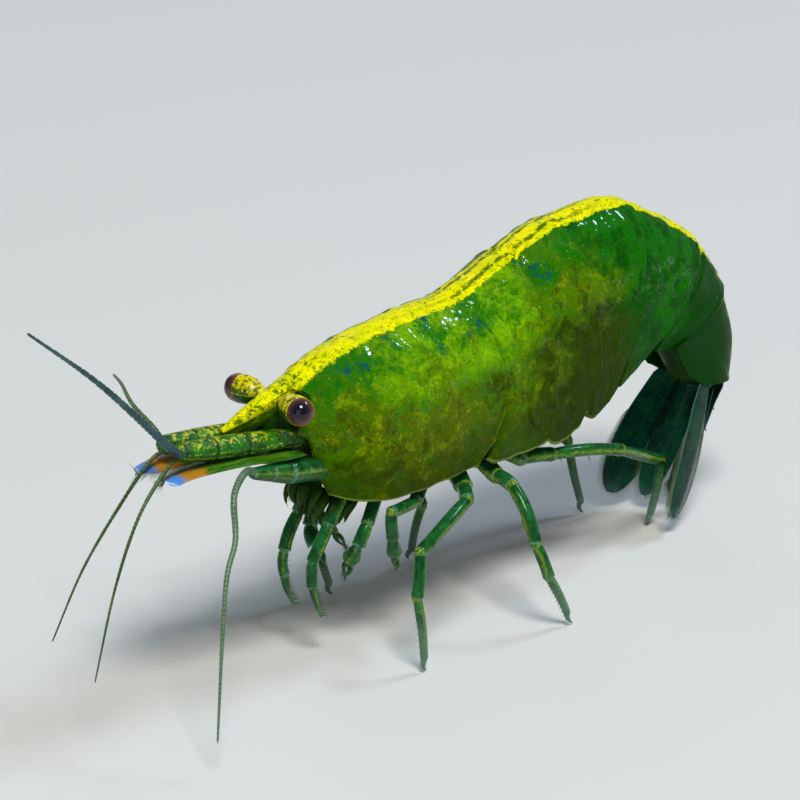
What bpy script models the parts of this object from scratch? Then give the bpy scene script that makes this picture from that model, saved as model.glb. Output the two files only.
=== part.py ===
"""A life-size dwarf freshwater shrimp (Neocaridina), standing on its walking legs with its tail curled down.

Frame: the head points along -X, +Z is up and the animal's left side is at -Y. The floor is z = 0 and the
origin is the centre of the model's footprint. Sizes in this file are millimetres; MM turns them into metres.
"""

import math

import bmesh
import bpy
from mathutils import Matrix, Vector

MM = 0.001
GAP = 0.3  # clear space between one piece and the next
THIN = 0.5  # thickness of blades, feelers and leg tips
FLOOR = 0.0
SIDES = {"left": -1, "right": 1}
SHARP_ANGLE = math.radians(50)  # edges sharper than this are not shaded smooth

# Shell plates that grow from the back: outer arch of an ellipse, then the two hanging side flaps.
ARCH_STEPS = 16  # faces round the outer arch of a plate
ARCH_END = math.radians(118)  # how far round the ellipse a side flap hangs
FLAP_START = math.radians(96)  # where the flap leaves the belly, on its inner face
FLAP_STEPS = 3
FLAP_EDGE = 0.08  # the flap's inner face ends this much above its outer face
BELLY_SAG = 0.25  # how far the middle of the belly hangs below its sides
LOBE_SKEW = 1.4  # 1 puts a rear lobe's tip half way round, more puts it lower

# Carapace, from the eye sockets to the rear edge: x of the back line, z of the back line, depth, half width.
CARAPACE_STATIONS = [
    (2.75, 8.62, 2.9, 0.95),
    (3.7, 8.98, 3.75, 1.5),
    (5.1, 9.28, 4.4, 1.88),
    (6.9, 9.50, 4.7, 2.02),
    (9.1, 9.62, 4.75, 2.0),
]
CARAPACE_RINGS = 12
CARAPACE_FLOOR = 0.8  # share of the carapace's depth at which its hollow underside lies
CARAPACE_FRONT_SLOPE = 0.75  # how far the lower front corner lies behind the eye socket
CARAPACE_REAR_LOBE = 0.75  # how far the side of the rear edge reaches over the first tail plate

# Body under the carapace, from the mouth back: x, z, half width, half height.
THORAX_STATIONS = [
    (4.0, 5.2, 0.45, 0.3), (4.7, 4.9, 0.65, 0.45), (6.4, 4.72, 0.75, 0.5),
    (9.0, 4.75, 0.75, 0.5), (10.5, 4.9, 0.55, 0.4),
]
THORAX_RINGS = 12
THORAX_SIDES = 12

ROSTRUM_BASE = (3.6, 8.93)
ROSTRUM_TIP = (0.44, 7.78)
ROSTRUM_HEIGHT = 0.84  # at its base
ROSTRUM_TIP_HEIGHT = 0.22
ROSTRUM_TEETH = 9
TOOTH_HEIGHT = 0.09
ROSTRUM_SHOULDER = (0.8, 0.12)  # share of its half width, and how far below its top edge that is reached
ROSTRUM_SWELL = 1.4  # extra thickness at its base, as a share of THIN

# Edges between the tail plates: x and z of the back line, lean of the cut, depth, half width.
TAIL_STATIONS = [
    (9.1, 9.62, 3, 4.8, 2.0),
    (11.2, 10.28, 5, 5.35, 1.98),
    (13.0, 10.83, 2, 5.55, 1.98),
    (16.1, 10.88, -15, 5.2, 1.85),
    (19.1, 9.2, -42, 3.75, 1.5),
    (20.45, 7.55, -60, 2.9, 1.28),
    (21.1, 4.05, -96, 2.0, 0.95),
]
TAIL_RINGS = 5  # rings along each tail plate
PLATE_TRIM = 0.19  # length left off each end of a tail plate, twice that behind the carapace
FLAP_ROUNDING = [0.1, 0.5, 0.6, 0.5, 0.4, 0.1]  # how far each plate's side flap bulges below its edges
FLAP_FROM = 0.55  # share of the way round from which a flap bulges
BELLY_SHARE = [0.66, 0.62, 0.62, 0.66, 0.72, 0.92]  # share of a plate's depth that is body and not flap

# Walking legs: hip, two knees and foot of each, with the leg's radius there. A foot ends flat on the floor.
LEG_RADII = (0.27, 0.29, 0.27, 0.25, 0.25)
WALKING_LEGS = {
    "leg_3_left": [(8.8, -1.15, 4.3), (7.8, -2.4, 4.25), (5.35, -3.0, 3.5), (4.95, -3.3, 2.3), (5.1, -3.5)],
    "leg_4_left": [(9.8, -1.1, 4.3), (9.65, -2.4, 4.2), (9.45, -3.6, 2.75), (9.75, -3.85, 1.7), (10.6, -4.0)],
    "leg_5_left": [(10.4, -1.0, 4.35), (12.2, -1.5, 4.2), (14.8, -1.8, 3.7), (17.6, -0.8, 2.3), (17.6, -0.3)],
    "leg_3_right": [(8.8, 1.15, 4.3), (8.0, 2.3, 4.25), (6.3, 2.6, 3.9), (6.3, 2.6, 2.4), (6.9, 2.4)],
    "leg_4_right": [(9.8, 1.1, 4.3), (10.0, 2.3, 4.2), (10.2, 2.4, 3.1), (10.3, 2.1, 2.0), (10.38, 2.75)],
    "leg_5_right": [(10.4, 1.0, 4.35), (12.3, 1.6, 4.2), (14.8, 2.3, 4.0), (16.5, 2.1, 2.4), (16.8, 1.7)],
}
KNEE = 2  # the joint where a leg is divided into its upper and lower length
KNEE_TRIM = 0.3  # length left off each side of that joint
FOOT_PAD = 0.35  # height of the upright last stretch above a foot
BEND = 0.35  # a limb starts to bend this far before a joint
BEND_SHARE = 0.4  # but never takes more than this share of the stretch

# Small front limbs: every joint with its radius there.
FRONT_LIMBS = {
    "maxilliped": [
        (4.3, 0.72, 4.35, 0.27), (3.9, 0.65, 4.0, 0.26), (3.35, 0.6, 3.05, 0.27),
        (3.35, 0.6, 2.3, 0.25), (3.72, 0.58, 1.22, 0.25),
    ],
    "cheliped_1": [
        (5.8, 0.7, 3.95, 0.25), (5.1, 1.05, 3.85, 0.26), (4.75, 1.05, 3.3, 0.25),
        (4.75, 0.75, 2.75, 0.35), (4.75, 0.45, 2.2, 0.25),
    ],
    "cheliped_2": [
        (7.5, 1.1, 4.25, 0.27), (6.6, 1.5, 4.3, 0.28), (5.3, 1.85, 4.42, 0.27), (5.55, 1.65, 3.5, 0.27),
        (5.85, 1.4, 2.9, 0.33), (6.2, 1.1, 2.2, 0.25),
    ],
}

EYE_CENTRE = (2.28, 1.3, 8.2)
EYE_RADIUS = 0.42
EYE_SEGMENTS = 16
EYE_RINGS = 10
EYESTALK_ROOT = (2.2, 0.46, 8.02)
EYESTALK_RADII = (0.25, 0.33)  # at its root and behind the eye

ANTENNULE = [
    (2.35, 0.5, 7.08, 0.3), (0.95, 0.5, 7.33, 0.31), (-0.3, 0.5, 7.5, 0.31), (-1.3, 0.5, 7.68, 0.29),
]
SCALE_ROOT = (2.45, 1.2, 6.62)
SCALE_TIP = (-2.45, 1.28, 6.95)
SCALE_WIDTH = 1.1
SCALE_TILT = -0.2  # lean of its broad face, its outer edge higher than its inner one
ANTENNA_BASE = [(2.4, 1.3, 5.8, 0.33), (1.5, 1.45, 5.95, 0.3), (0.95, 1.5, 6.02, 0.26)]

# Feelers: points that each one's smooth curve passes through, from its root to its tip.
FEELERS = {
    "antennule_outer_left": [(-1.85, -0.55, 7.99), (-4.65, -0.8, 10.74), (-7.5, -1.2, 13.13)],
    "antennule_outer_right": [(-1.8, 0.62, 7.9), (-1.0, 2.6, 8.35), (-0.2, 4.0, 8.45), (1.1, 5.4, 7.9)],
    "antennule_inner_left": [(-1.9, -0.38, 7.38), (-3.2, -0.6, 6.4), (-4.3, -0.85, 4.6), (-5.24, -1.0, 2.06)],
    "antennule_inner_right": [(-1.9, 0.38, 7.38), (-2.7, 0.5, 6.6), (-4.0, 0.85, 4.6), (-5.09, 1.0, 2.61)],
    "antenna_left": [
        (0.4, -1.6, 6.05), (-0.35, -2.35, 6.25), (-1.2, -2.55, 6.7), (-1.5, -2.65, 6.4),
        (-1.75, -2.85, 5.95), (-2.2, -3.15, 5.15), (-2.93, -3.75, 3.5), (-3.9, -4.6, 1.0),
    ],
    "antenna_right": [
        (0.4, 1.6, 6.05), (0.15, 2.3, 6.15), (1.1, 2.95, 6.15), (3.6, 3.3, 5.9),
        (7.0, 3.5, 5.5), (10.4, 3.9, 4.6), (13.4, 4.3, 3.2),
    ],
}
FEELER_STEP = 0.9  # length of one straight stretch of a feeler
DIVIDED_FEELERS = {"antenna_left", "antenna_right"}

# Blades: outline of the section as shares of half width and thickness, and how the width changes.
BLADE_SECTION = [(-1, 0), (-0.8, 0.5), (0.8, 0.5), (1, 0), (0.8, -0.5), (-0.8, -0.5)]
BLADE_ROOT = 0.45  # width at the root, as a share of the full width
BLADE_FULL = 0.55  # share of the length where the full width is reached
BLADE_ROUND_FROM = 0.72  # share of the length where the end starts to round off
BLADE_ROUND_TO = 1.02  # where that rounding would close

# Tail fan: root and tip of each blade, its width, and the way its flat outer face looks.
TELSON = ((20.95, 0, 3.6), (19.05, 0, 0.4), 0.9, (0.86, 0, -0.51))
UROPOD_INNER = ((19.9, 0.5, 3.7), (18.35, 0.62, 0.45), 0.82, (0.85, 0.4, -0.45))
UROPOD_OUTER = ((19.1, 1.28, 3.75), (17.5, 1.45, 0.55), 1.3, (0.3, 0.95, -0.1))

PLEOPOD_PLACES = [0.6, 1.6, 2.6, 3.45, 4.45]  # where along the tail stations each pair hangs
PLEOPOD_LENGTH = 1.7
PLEOPOD_WIDTH = 0.75
PLEOPOD_SWEEP = [0.55, 0.4, 0.25, 0.1, -0.05]  # how far each pair points back
PLEOPOD_DOWN = 0.8  # how far every pair points down
PLEOPOD_DROP = 0.6  # how far below the belly a paddle starts
PLEOPOD_SPREAD = 0.36  # how far from the middle a paddle hangs, as a share of the plate's half width

MATERIALS = {
    "shell": ((0.10, 0.26, 0.02), 0.25),
    "tail_shell": ((0.05, 0.24, 0.03), 0.25),
    "leg_shell": ((0.08, 0.28, 0.06), 0.3),
    "fan": ((0.04, 0.14, 0.07), 0.3),
    "feeler": ((0.32, 0.4, 0.25), 0.4),
    "stalk": ((0.45, 0.5, 0.02), 0.35),
    "eye": ((0.09, 0.04, 0.05), 0.08),
    "belly": ((0.12, 0.2, 0.03), 0.4),
}


def start_scene():
    for old in list(bpy.data.objects):
        bpy.data.objects.remove(old)
    parts = bpy.data.collections.new("shrimp")
    bpy.context.scene.collection.children.link(parts)
    frame = bpy.data.objects.new("shrimp_frame", None)
    parts.objects.link(frame)
    return parts, frame


def material(name):
    found = bpy.data.materials.get(name)
    if found:
        return found
    colour, roughness = MATERIALS[name]
    made = bpy.data.materials.new(name)
    made.use_nodes = True
    shader = made.node_tree.nodes["Principled BSDF"]
    shader.inputs["Base Color"].default_value = (*colour, 1)
    shader.inputs["Roughness"].default_value = roughness
    shader.inputs["Metallic"].default_value = 0.0
    return made


def add_piece(name, data, finish):
    """Puts a mesh or curve in the shrimp's collection as one named piece."""
    piece = bpy.data.objects.new(name, data)
    data.materials.append(material(finish))
    PARTS.objects.link(piece)
    piece.parent = FRAME
    return piece


def catmull(rows, t):
    """The row at t along a smooth curve through rows, where t runs from 0 to len(rows) - 1."""
    i = min(int(t), len(rows) - 2)
    f = t - i
    near = [rows[min(max(k, 0), len(rows) - 1)] for k in (i - 1, i, i + 1, i + 2)]
    return tuple(
        0.5 * (2 * b + (c - a) * f + (2 * a - 5 * b + 4 * c - d) * f**2 + (3 * b - a - 3 * c + d) * f**3)
        for a, b, c, d in zip(*near)
    )


def blend(a, b, f):
    return tuple(p + (q - p) * f for p, q in zip(a, b))


def loft_mesh(name, rings):
    """A closed skin over rings of equal length, in millimetres, with a cap on the first and the last."""
    bm = bmesh.new()
    rows = [[bm.verts.new(Vector(p) * MM) for p in ring] for ring in rings]
    for row, after in zip(rows, rows[1:]):
        for k in range(len(row)):
            j = (k + 1) % len(row)
            bm.faces.new((row[k], row[j], after[j], after[k]))
    bm.faces.new(rows[0])
    bm.faces.new(rows[-1])
    bmesh.ops.recalc_face_normals(bm, faces=bm.faces)
    mesh = bpy.data.meshes.new(name)
    bm.to_mesh(mesh)
    bm.free()
    mesh.shade_smooth()
    mesh.set_sharp_from_angle(angle=SHARP_ANGLE)
    return mesh


def loft(name, rings, finish):
    return add_piece(name, loft_mesh(name, rings), finish)


def tube(name, path, finish, resolution=2):
    """A tube along path, whose rows are x, y, z and radius in millimetres, with flat filled ends."""
    curve = bpy.data.curves.new(name, "CURVE")
    curve.dimensions = "3D"
    curve.bevel_depth = MM
    curve.bevel_resolution = resolution
    curve.use_fill_caps = True
    spline = curve.splines.new("POLY")
    spline.points.add(len(path) - 1)
    for point, (x, y, z, radius) in zip(spline.points, path):
        point.co = (x * MM, y * MM, z * MM, 1)
        point.radius = radius
    return add_piece(name, curve, finish)


def smooth_path(points, step):
    """Rows at about every step millimetres along a smooth curve through points."""
    rows = [points[0]]
    for i, (a, b) in enumerate(zip(points, points[1:])):
        steps = max(1, round(math.dist(a[:3], b[:3]) / step))
        rows += [catmull(points, i + (k + 1) / steps) for k in range(steps)]
    return rows


def bent_path(joints):
    """Straight stretches between joints, each corner turned in three short steps."""
    rows = [joints[0]]
    for before, joint, after in zip(joints, joints[1:], joints[2:]):
        start = blend(joint, before, min(BEND_SHARE, BEND / math.dist(joint[:3], before[:3])))
        end = blend(joint, after, min(BEND_SHARE, BEND / math.dist(joint[:3], after[:3])))
        middle = blend(blend(start, end, 0.5), joint, 0.5)
        rows += [start, middle, end]
    return rows + [joints[-1]]


def mirrored(rows, side):
    """Rows of a limb that is drawn on the right, moved to the side asked for."""
    return [(row[0], row[1] * side, *row[2:]) for row in rows]


def arch_section(depth, half_width, belly):
    """Outline of a plate seen along the body, as y, drop below the back line and share of the way round."""
    semi = depth / (1 - math.cos(ARCH_END))
    outer = []
    for k in range(ARCH_STEPS + 1):
        turn = ARCH_END * (2 * k / ARCH_STEPS - 1)
        outer.append((half_width * math.sin(turn), semi * (1 - math.cos(turn)), abs(turn) / ARCH_END))
    inner = []
    for k in range(FLAP_STEPS + 1):
        share = k / FLAP_STEPS
        turn = ARCH_END + (FLAP_START - ARCH_END) * share
        drop = depth - FLAP_EDGE - (depth - belly) * share
        inner.append(((half_width - THIN) * math.sin(turn), drop, turn / ARCH_END))
    middle = (0.0, belly + BELLY_SAG, FLAP_START / ARCH_END)
    return outer + inner + [middle] + [(-y, drop, turn) for y, drop, turn in reversed(inner)]


def lobe(turn):
    """0 on the back, rising to 1 on the flank and falling to 0 at the flap's lower edge."""
    return math.sin(math.pi * turn**LOBE_SKEW)


def carapace_ring(share):
    x, z, depth, half_width = catmull(CARAPACE_STATIONS, share * (len(CARAPACE_STATIONS) - 1))
    ring = []
    for y, drop, turn in arch_section(depth, half_width, depth * CARAPACE_FLOOR):
        slope = CARAPACE_FRONT_SLOPE * turn**2 * (1 - share)
        ring.append((x + slope + CARAPACE_REAR_LOBE * lobe(turn) * share**3, y, z - drop))
    return ring


def rostrum_mesh():
    """The toothed blade between the eyes, from inside the carapace, where it is widest, to its tip."""
    rings = []
    steps = 2 * ROSTRUM_TEETH
    for k in range(steps + 1):
        share = k / steps
        x, z = blend(ROSTRUM_BASE, ROSTRUM_TIP, share)
        height = ROSTRUM_TIP_HEIGHT + (ROSTRUM_HEIGHT - ROSTRUM_TIP_HEIGHT) * (1 - share) ** 0.7
        tooth = TOOTH_HEIGHT if k % 2 else 0.0
        half = THIN / 2 * (1 + ROSTRUM_SWELL * (1 - share) ** 3)
        shoulder = (x, half * ROSTRUM_SHOULDER[0], z - ROSTRUM_SHOULDER[1])
        side = [shoulder, (x, half, z - height / 2)]
        other = [(x, -y, low) for _, y, low in reversed(side)]
        rings.append([(x, 0, z + tooth), *side, (x, 0, z - height), *other])
    return loft_mesh("rostrum", rings)


def build_carapace():
    rings = [carapace_ring(k / CARAPACE_RINGS) for k in range(CARAPACE_RINGS + 1)]
    carapace = loft("carapace", rings, "shell")
    rostrum = bpy.data.objects.new("rostrum_blade", rostrum_mesh())
    CUTTERS.objects.link(rostrum)
    rostrum.parent = FRAME
    rostrum.hide_render = True
    rostrum.display_type = "WIRE"
    join = carapace.modifiers.new("join rostrum", "BOOLEAN")
    join.operation = "UNION"
    join.object = rostrum


def tail_ring(t, plate, share):
    """One ring of a tail plate, t along TAIL_STATIONS and share along the plate itself."""
    x, z, lean, depth, half_width = catmull(TAIL_STATIONS, t)
    flap = FLAP_ROUNDING[plate] * (math.sin(math.pi * share) ** 0.5 if 0 < share < 1 else 0)
    down = Matrix.Rotation(math.radians(-lean), 3, "Y") @ Vector((0, 0, -1))
    rear_lobe = CARAPACE_REAR_LOBE * (1 - share) if plate == 0 else 0
    ring = []
    for y, drop, turn in arch_section(depth, half_width, depth * BELLY_SHARE[plate]):
        below = drop + flap * max(0.0, turn - FLAP_FROM) / (1 - FLAP_FROM)
        place = Vector((x + rear_lobe * lobe(turn), y, z)) + down * below
        ring.append(tuple(place))
    return ring


def build_tail():
    for plate in range(len(TAIL_STATIONS) - 1):
        length = math.dist(TAIL_STATIONS[plate][:2], TAIL_STATIONS[plate + 1][:2])
        trim = PLATE_TRIM / length
        first = plate + trim * (2 if plate == 0 else 1)
        last = plate + 1 - trim
        rings = []
        for k in range(TAIL_RINGS + 1):
            share = k / TAIL_RINGS
            rings.append(tail_ring(first + (last - first) * share, plate, share))
        loft(f"pleonite_{plate + 1}", rings, "tail_shell")


def build_thorax():
    """The body under the carapace, between the mouth and the last pair of legs."""
    rings = []
    spans = len(THORAX_STATIONS) - 1
    turns = [math.tau * j / THORAX_SIDES for j in range(THORAX_SIDES)]
    for k in range(THORAX_RINGS + 1):
        x, z, half_width, half_height = catmull(THORAX_STATIONS, k * spans / THORAX_RINGS)
        rings.append([(x, half_width * math.cos(a), z + half_height * math.sin(a)) for a in turns])
    loft("thorax", rings, "belly")


def build_walking_legs():
    for name, joints in WALKING_LEGS.items():
        foot_x, foot_y = joints[-1]
        places = joints[:-1] + [(foot_x, foot_y, FLOOR + FOOT_PAD)]
        rows = [(*place, radius) for place, radius in zip(places, LEG_RADII)]
        rows.append((foot_x, foot_y, FLOOR, LEG_RADII[-1]))
        knee = rows[KNEE]
        above = blend(knee, rows[KNEE - 1], KNEE_TRIM / math.dist(knee[:3], rows[KNEE - 1][:3]))
        below = blend(knee, rows[KNEE + 1], KNEE_TRIM / math.dist(knee[:3], rows[KNEE + 1][:3]))
        tube(f"{name}_upper", bent_path(rows[:KNEE] + [above]), "leg_shell")
        tube(f"{name}_lower", bent_path([below] + rows[KNEE + 1 :]), "leg_shell")


def build_front_limbs():
    for name, joints in FRONT_LIMBS.items():
        for word, side in SIDES.items():
            tube(f"{name}_{word}", bent_path(mirrored(joints, side)), "leg_shell")


def build_eyes():
    for word, side in SIDES.items():
        centre, root = (Vector(row) for row in mirrored([EYE_CENTRE, EYESTALK_ROOT], side))
        bm = bmesh.new()
        bmesh.ops.create_uvsphere(bm, u_segments=EYE_SEGMENTS, v_segments=EYE_RINGS, radius=EYE_RADIUS * MM)
        mesh = bpy.data.meshes.new(f"eye_{word}")
        bm.to_mesh(mesh)
        bm.free()
        mesh.shade_smooth()
        eye = add_piece(f"eye_{word}", mesh, "eye")
        eye.location = centre * MM
        end = centre - (centre - root).normalized() * (EYE_RADIUS + GAP / 2)
        tube(f"eyestalk_{word}", [(*root, EYESTALK_RADII[0]), (*end, EYESTALK_RADII[1])], "stalk")


def blade(name, root, tip, width, facing, finish, steps=8):
    """A flat leaf THIN thick from root to tip, with a rounded end. facing is the way its broad face looks."""
    root = Vector(root)
    along = Vector(tip) - root
    across = Vector(facing).cross(along).normalized()
    up = along.cross(across).normalized()
    rings = []
    for k in range(steps + 1):
        share = k / steps
        swell = BLADE_ROOT + (1 - BLADE_ROOT) * math.sin(math.pi / 2 * min(1, share / BLADE_FULL))
        end = max(0.0, share - BLADE_ROUND_FROM) / (BLADE_ROUND_TO - BLADE_ROUND_FROM)
        half = max(width / 2 * swell * math.sqrt(1 - end**2), THIN / 2)
        middle = root + along * share
        rings.append([tuple(middle + across * half * a + up * THIN * b) for a, b in BLADE_SECTION])
    loft(name, rings, finish)


def build_tail_fan():
    blade("telson", *TELSON, "fan")
    for word, side in SIDES.items():
        for name, (root, tip, width, facing) in (("inner", UROPOD_INNER), ("outer", UROPOD_OUTER)):
            here, there, looks = mirrored([root, tip, facing], side)
            blade(f"uropod_{name}_{word}", here, there, width, looks, "fan")


def build_feelers():
    for name, points in FEELERS.items():
        rows = smooth_path([(*p, THIN / 2) for p in points], FEELER_STEP)
        if name not in DIVIDED_FEELERS:
            tube(name, rows, "feeler", resolution=1)
            continue
        middle = len(rows) // 2
        share = GAP / math.dist(rows[middle][:3], rows[middle + 1][:3])
        beyond = [blend(rows[middle], rows[middle + 1], share)] + rows[middle + 1 :]
        tube(f"{name}_root", rows[: middle + 1], "feeler", resolution=1)
        tube(f"{name}_tip", beyond, "feeler", resolution=1)


def build_head():
    for word, side in SIDES.items():
        tube(f"antennule_{word}", mirrored(ANTENNULE, side), "leg_shell")
        tube(f"antenna_base_{word}", mirrored(ANTENNA_BASE, side), "leg_shell")
        root, tip = mirrored([SCALE_ROOT, SCALE_TIP], side)
        blade(f"antennal_scale_{word}", root, tip, SCALE_WIDTH, (0, SCALE_TILT * side, 1), "fan")


def build_pleopods():
    """Five pairs of swimming paddles, folded back under the belly between the side flaps."""
    for plate, place in enumerate(PLEOPOD_PLACES):
        x, z, lean, depth, half_width = catmull(TAIL_STATIONS, place)
        turn = Matrix.Rotation(math.radians(-lean), 3, "Y")
        down = turn @ Vector((0, 0, -1))
        back = turn @ Vector((1, 0, 0))
        belly = depth * BELLY_SHARE[plate] + BELLY_SAG + PLEOPOD_DROP
        size = (depth / TAIL_STATIONS[2][3]) ** 1.5
        sweep = down * PLEOPOD_DOWN + back * PLEOPOD_SWEEP[plate]
        for word, side in SIDES.items():
            root = Vector((x, side * half_width * PLEOPOD_SPREAD, z)) + down * belly
            tip = root + sweep * PLEOPOD_LENGTH * size
            width = PLEOPOD_WIDTH * math.sqrt(size)
            blade(f"pleopod_{plate + 1}_{word}", root, tip, width, tuple(back), "fan", steps=5)


def stand_on_origin():
    """Moves the frame so that the origin is the middle of the model's box, on the floor."""
    bpy.context.view_layer.update()
    graph = bpy.context.evaluated_depsgraph_get()
    corners = []
    for piece in PARTS.objects:
        if piece.type == "EMPTY":
            continue
        evaluated = piece.evaluated_get(graph)
        mesh = evaluated.to_mesh()
        corners += [evaluated.matrix_world @ v.co for v in mesh.vertices]
        evaluated.to_mesh_clear()
    low = [min(c[k] for c in corners) for k in range(3)]
    high = [max(c[k] for c in corners) for k in range(3)]
    FRAME.location = (-(low[0] + high[0]) / 2, -(low[1] + high[1]) / 2, -low[2])


PARTS, FRAME = start_scene()
CUTTERS = bpy.data.collections.new("cutters")
bpy.context.scene.collection.children.link(CUTTERS)
build_carapace()
build_thorax()
build_tail()
build_tail_fan()
build_pleopods()
build_walking_legs()
build_front_limbs()
build_eyes()
build_head()
build_feelers()
stand_on_origin()
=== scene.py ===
import math

import bmesh
import bpy
import numpy as np
from mathutils import Matrix, Vector


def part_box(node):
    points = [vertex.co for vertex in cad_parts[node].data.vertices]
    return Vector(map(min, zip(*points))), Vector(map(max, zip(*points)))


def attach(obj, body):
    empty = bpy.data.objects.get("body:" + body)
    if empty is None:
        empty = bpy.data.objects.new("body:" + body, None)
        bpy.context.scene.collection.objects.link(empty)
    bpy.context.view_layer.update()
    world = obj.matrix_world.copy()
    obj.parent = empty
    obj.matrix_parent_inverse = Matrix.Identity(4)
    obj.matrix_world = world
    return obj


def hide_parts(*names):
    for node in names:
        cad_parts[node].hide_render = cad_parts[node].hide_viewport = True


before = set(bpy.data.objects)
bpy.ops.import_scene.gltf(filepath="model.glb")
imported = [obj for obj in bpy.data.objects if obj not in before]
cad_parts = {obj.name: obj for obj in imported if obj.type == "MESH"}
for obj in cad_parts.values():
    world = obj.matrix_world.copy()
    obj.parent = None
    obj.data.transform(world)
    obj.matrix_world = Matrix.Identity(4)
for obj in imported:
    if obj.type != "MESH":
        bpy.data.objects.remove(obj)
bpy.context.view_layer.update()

# Lengths are millimetres on the shrimp's own scale: head towards -x, back up, its left side at -y, and the
# floor at z 0. A share runs from 0 to 1.
mm = 0.001
leftEyeSpot = (2.28, -1.3, 8.2)  # the left eye's middle on that scale
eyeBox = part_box("eye_left")
shift = np.array((eyeBox[0] + eyeBox[1]) / 2) / mm - np.array(leftEyeSpot)
shift[2] = 0.0
sides = {"left": -1, "right": 1}
chance = np.random.default_rng(12)


def toFrame(spot):
    return Vector((np.asarray(spot, float) + shift) * mm)


def clearSelection():
    if bpy.context.object and bpy.context.object.mode != "OBJECT":
        bpy.ops.object.mode_set(mode="OBJECT")
    bpy.ops.object.select_all(action="DESELECT")


def named(name):
    piece = bpy.context.object
    piece.name = name
    piece.data.name = name
    piece.matrix_world = Matrix.Identity(4)
    return piece


def moveVertices(piece, spots):
    spots = (np.asarray(spots, float) + shift) * mm
    piece.data.vertices.foreach_set("co", spots.astype(np.float32).ravel())
    piece.data.update()


def vertexSpots(piece):
    flat = np.empty(len(piece.data.vertices) * 3, np.float32)
    piece.data.vertices.foreach_get("co", flat)
    return flat.reshape(-1, 3).astype(float)


def measure(piece, name, values):
    # a number at each vertex, or one for all of them, which the finishes read
    layer = piece.data.attributes.get(name) or piece.data.attributes.new(name, "FLOAT", "POINT")
    layer.data.foreach_set("value", np.broadcast_to(values, len(piece.data.vertices)).astype(np.float32))


def measured(piece, name):
    values = np.empty(len(piece.data.vertices), np.float32)
    piece.data.attributes[name].data.foreach_get("value", values)
    return values


def active(piece):
    clearSelection()
    piece.select_set(True)
    bpy.context.view_layer.objects.active = piece


def applyModifier(piece, kind, **settings):
    active(piece)
    modifier = piece.modifiers.new(kind.lower(), kind)
    for key, value in settings.items():
        setattr(modifier, key, value)
    bpy.ops.object.modifier_apply(modifier=modifier.name)


def joined(name, parts):
    active(parts[0])
    for part in parts:
        part.select_set(True)
    if len(parts) > 1:
        bpy.ops.object.join()
    return named(name)


def unit(vectors, least=0.0):
    # one vector or rows of them, brought to length 1
    size = np.linalg.norm(vectors, axis=1)[:, None] if np.ndim(vectors) > 1 else np.linalg.norm(vectors)
    return vectors / (size + least)


def distances(path):
    # how far along a path each of its points lies
    return np.r_[0, np.cumsum(np.linalg.norm(np.diff(path, axis=0), axis=1))]


def rowsBetween(wanted, steps, rows):
    # the three numbers of each row, read off at the wanted steps
    return np.stack([np.interp(wanted, steps, rows[:, k]) for k in range(3)], -1)


def curveThrough(points, steps):
    # a smooth curve through rows of numbers, steps rows to each stretch
    points = np.asarray(points, float)
    ends = np.vstack([2 * points[0] - points[1], points, 2 * points[-1] - points[-2]])
    rows = []
    for i in range(len(points) - 1):
        a, b, c, d = ends[i : i + 4]
        for f in np.arange(steps) / steps:
            rows.append(b + 0.5 * f * (c - a + f * (2 * a - 5 * b + 4 * c - d + f * (3 * (b - c) + d - a))))
    return np.array(rows + [points[-1]])


def rowAt(points, place):
    # the row at each place along the smooth curve through points, clamped at its ends
    points = np.asarray(points, float)
    place = np.asarray(place, float)
    i = np.clip(place.astype(int), 0, len(points) - 2)
    f = (place - i)[..., None]
    last = len(points) - 1
    a, b, c, d = (points[np.clip(i + k, 0, last)] for k in (-1, 0, 1, 2))
    return 0.5 * (2 * b + (c - a) * f + (2 * a - 5 * b + 4 * c - d) * f**2 + (3 * b - a - 3 * c + d) * f**3)


def smooth(value, low, high):
    share = np.clip((np.asarray(value, float) - low) / (high - low), 0, 1)
    return share * share * (3 - 2 * share)


def hill(value, middle, width, high=1.0):
    # a rounded rise at the middle, gone after two or three widths to each side
    return high * np.exp(-(((value - middle) / width) ** 2))


def sheet(name, alongCuts, aroundCuts, shape):
    # a grid bent to its form; shape turns the shares along and around into places and a place along the body
    clearSelection()
    bpy.ops.mesh.primitive_grid_add(x_subdivisions=alongCuts, y_subdivisions=aroundCuts, size=1)
    piece = named(name)
    flat = vertexSpots(piece)[:, :2] + 0.5
    spots, body = shape(flat[:, 0], flat[:, 1])
    moveVertices(piece, spots)
    measure(piece, "body", body)
    measure(piece, "along", flat[:, 0])
    measure(piece, "around", flat[:, 1])
    bpy.ops.object.shade_smooth()
    return piece


def cutRings(piece, cuts):
    # cuts the upright edges of a cylinder or cone of height 1
    bpy.ops.object.mode_set(mode="EDIT")
    bpy.ops.mesh.select_mode(type="EDGE")
    bpy.ops.mesh.select_all(action="DESELECT")
    cage = bmesh.from_edit_mesh(piece.data)
    for edge in cage.edges:
        edge.select_set(abs(edge.verts[0].co.z - edge.verts[1].co.z) > 0.5)
    bmesh.update_edit_mesh(piece.data)
    bpy.ops.mesh.subdivide(number_cuts=cuts)
    bpy.ops.object.mode_set(mode="OBJECT")


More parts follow.
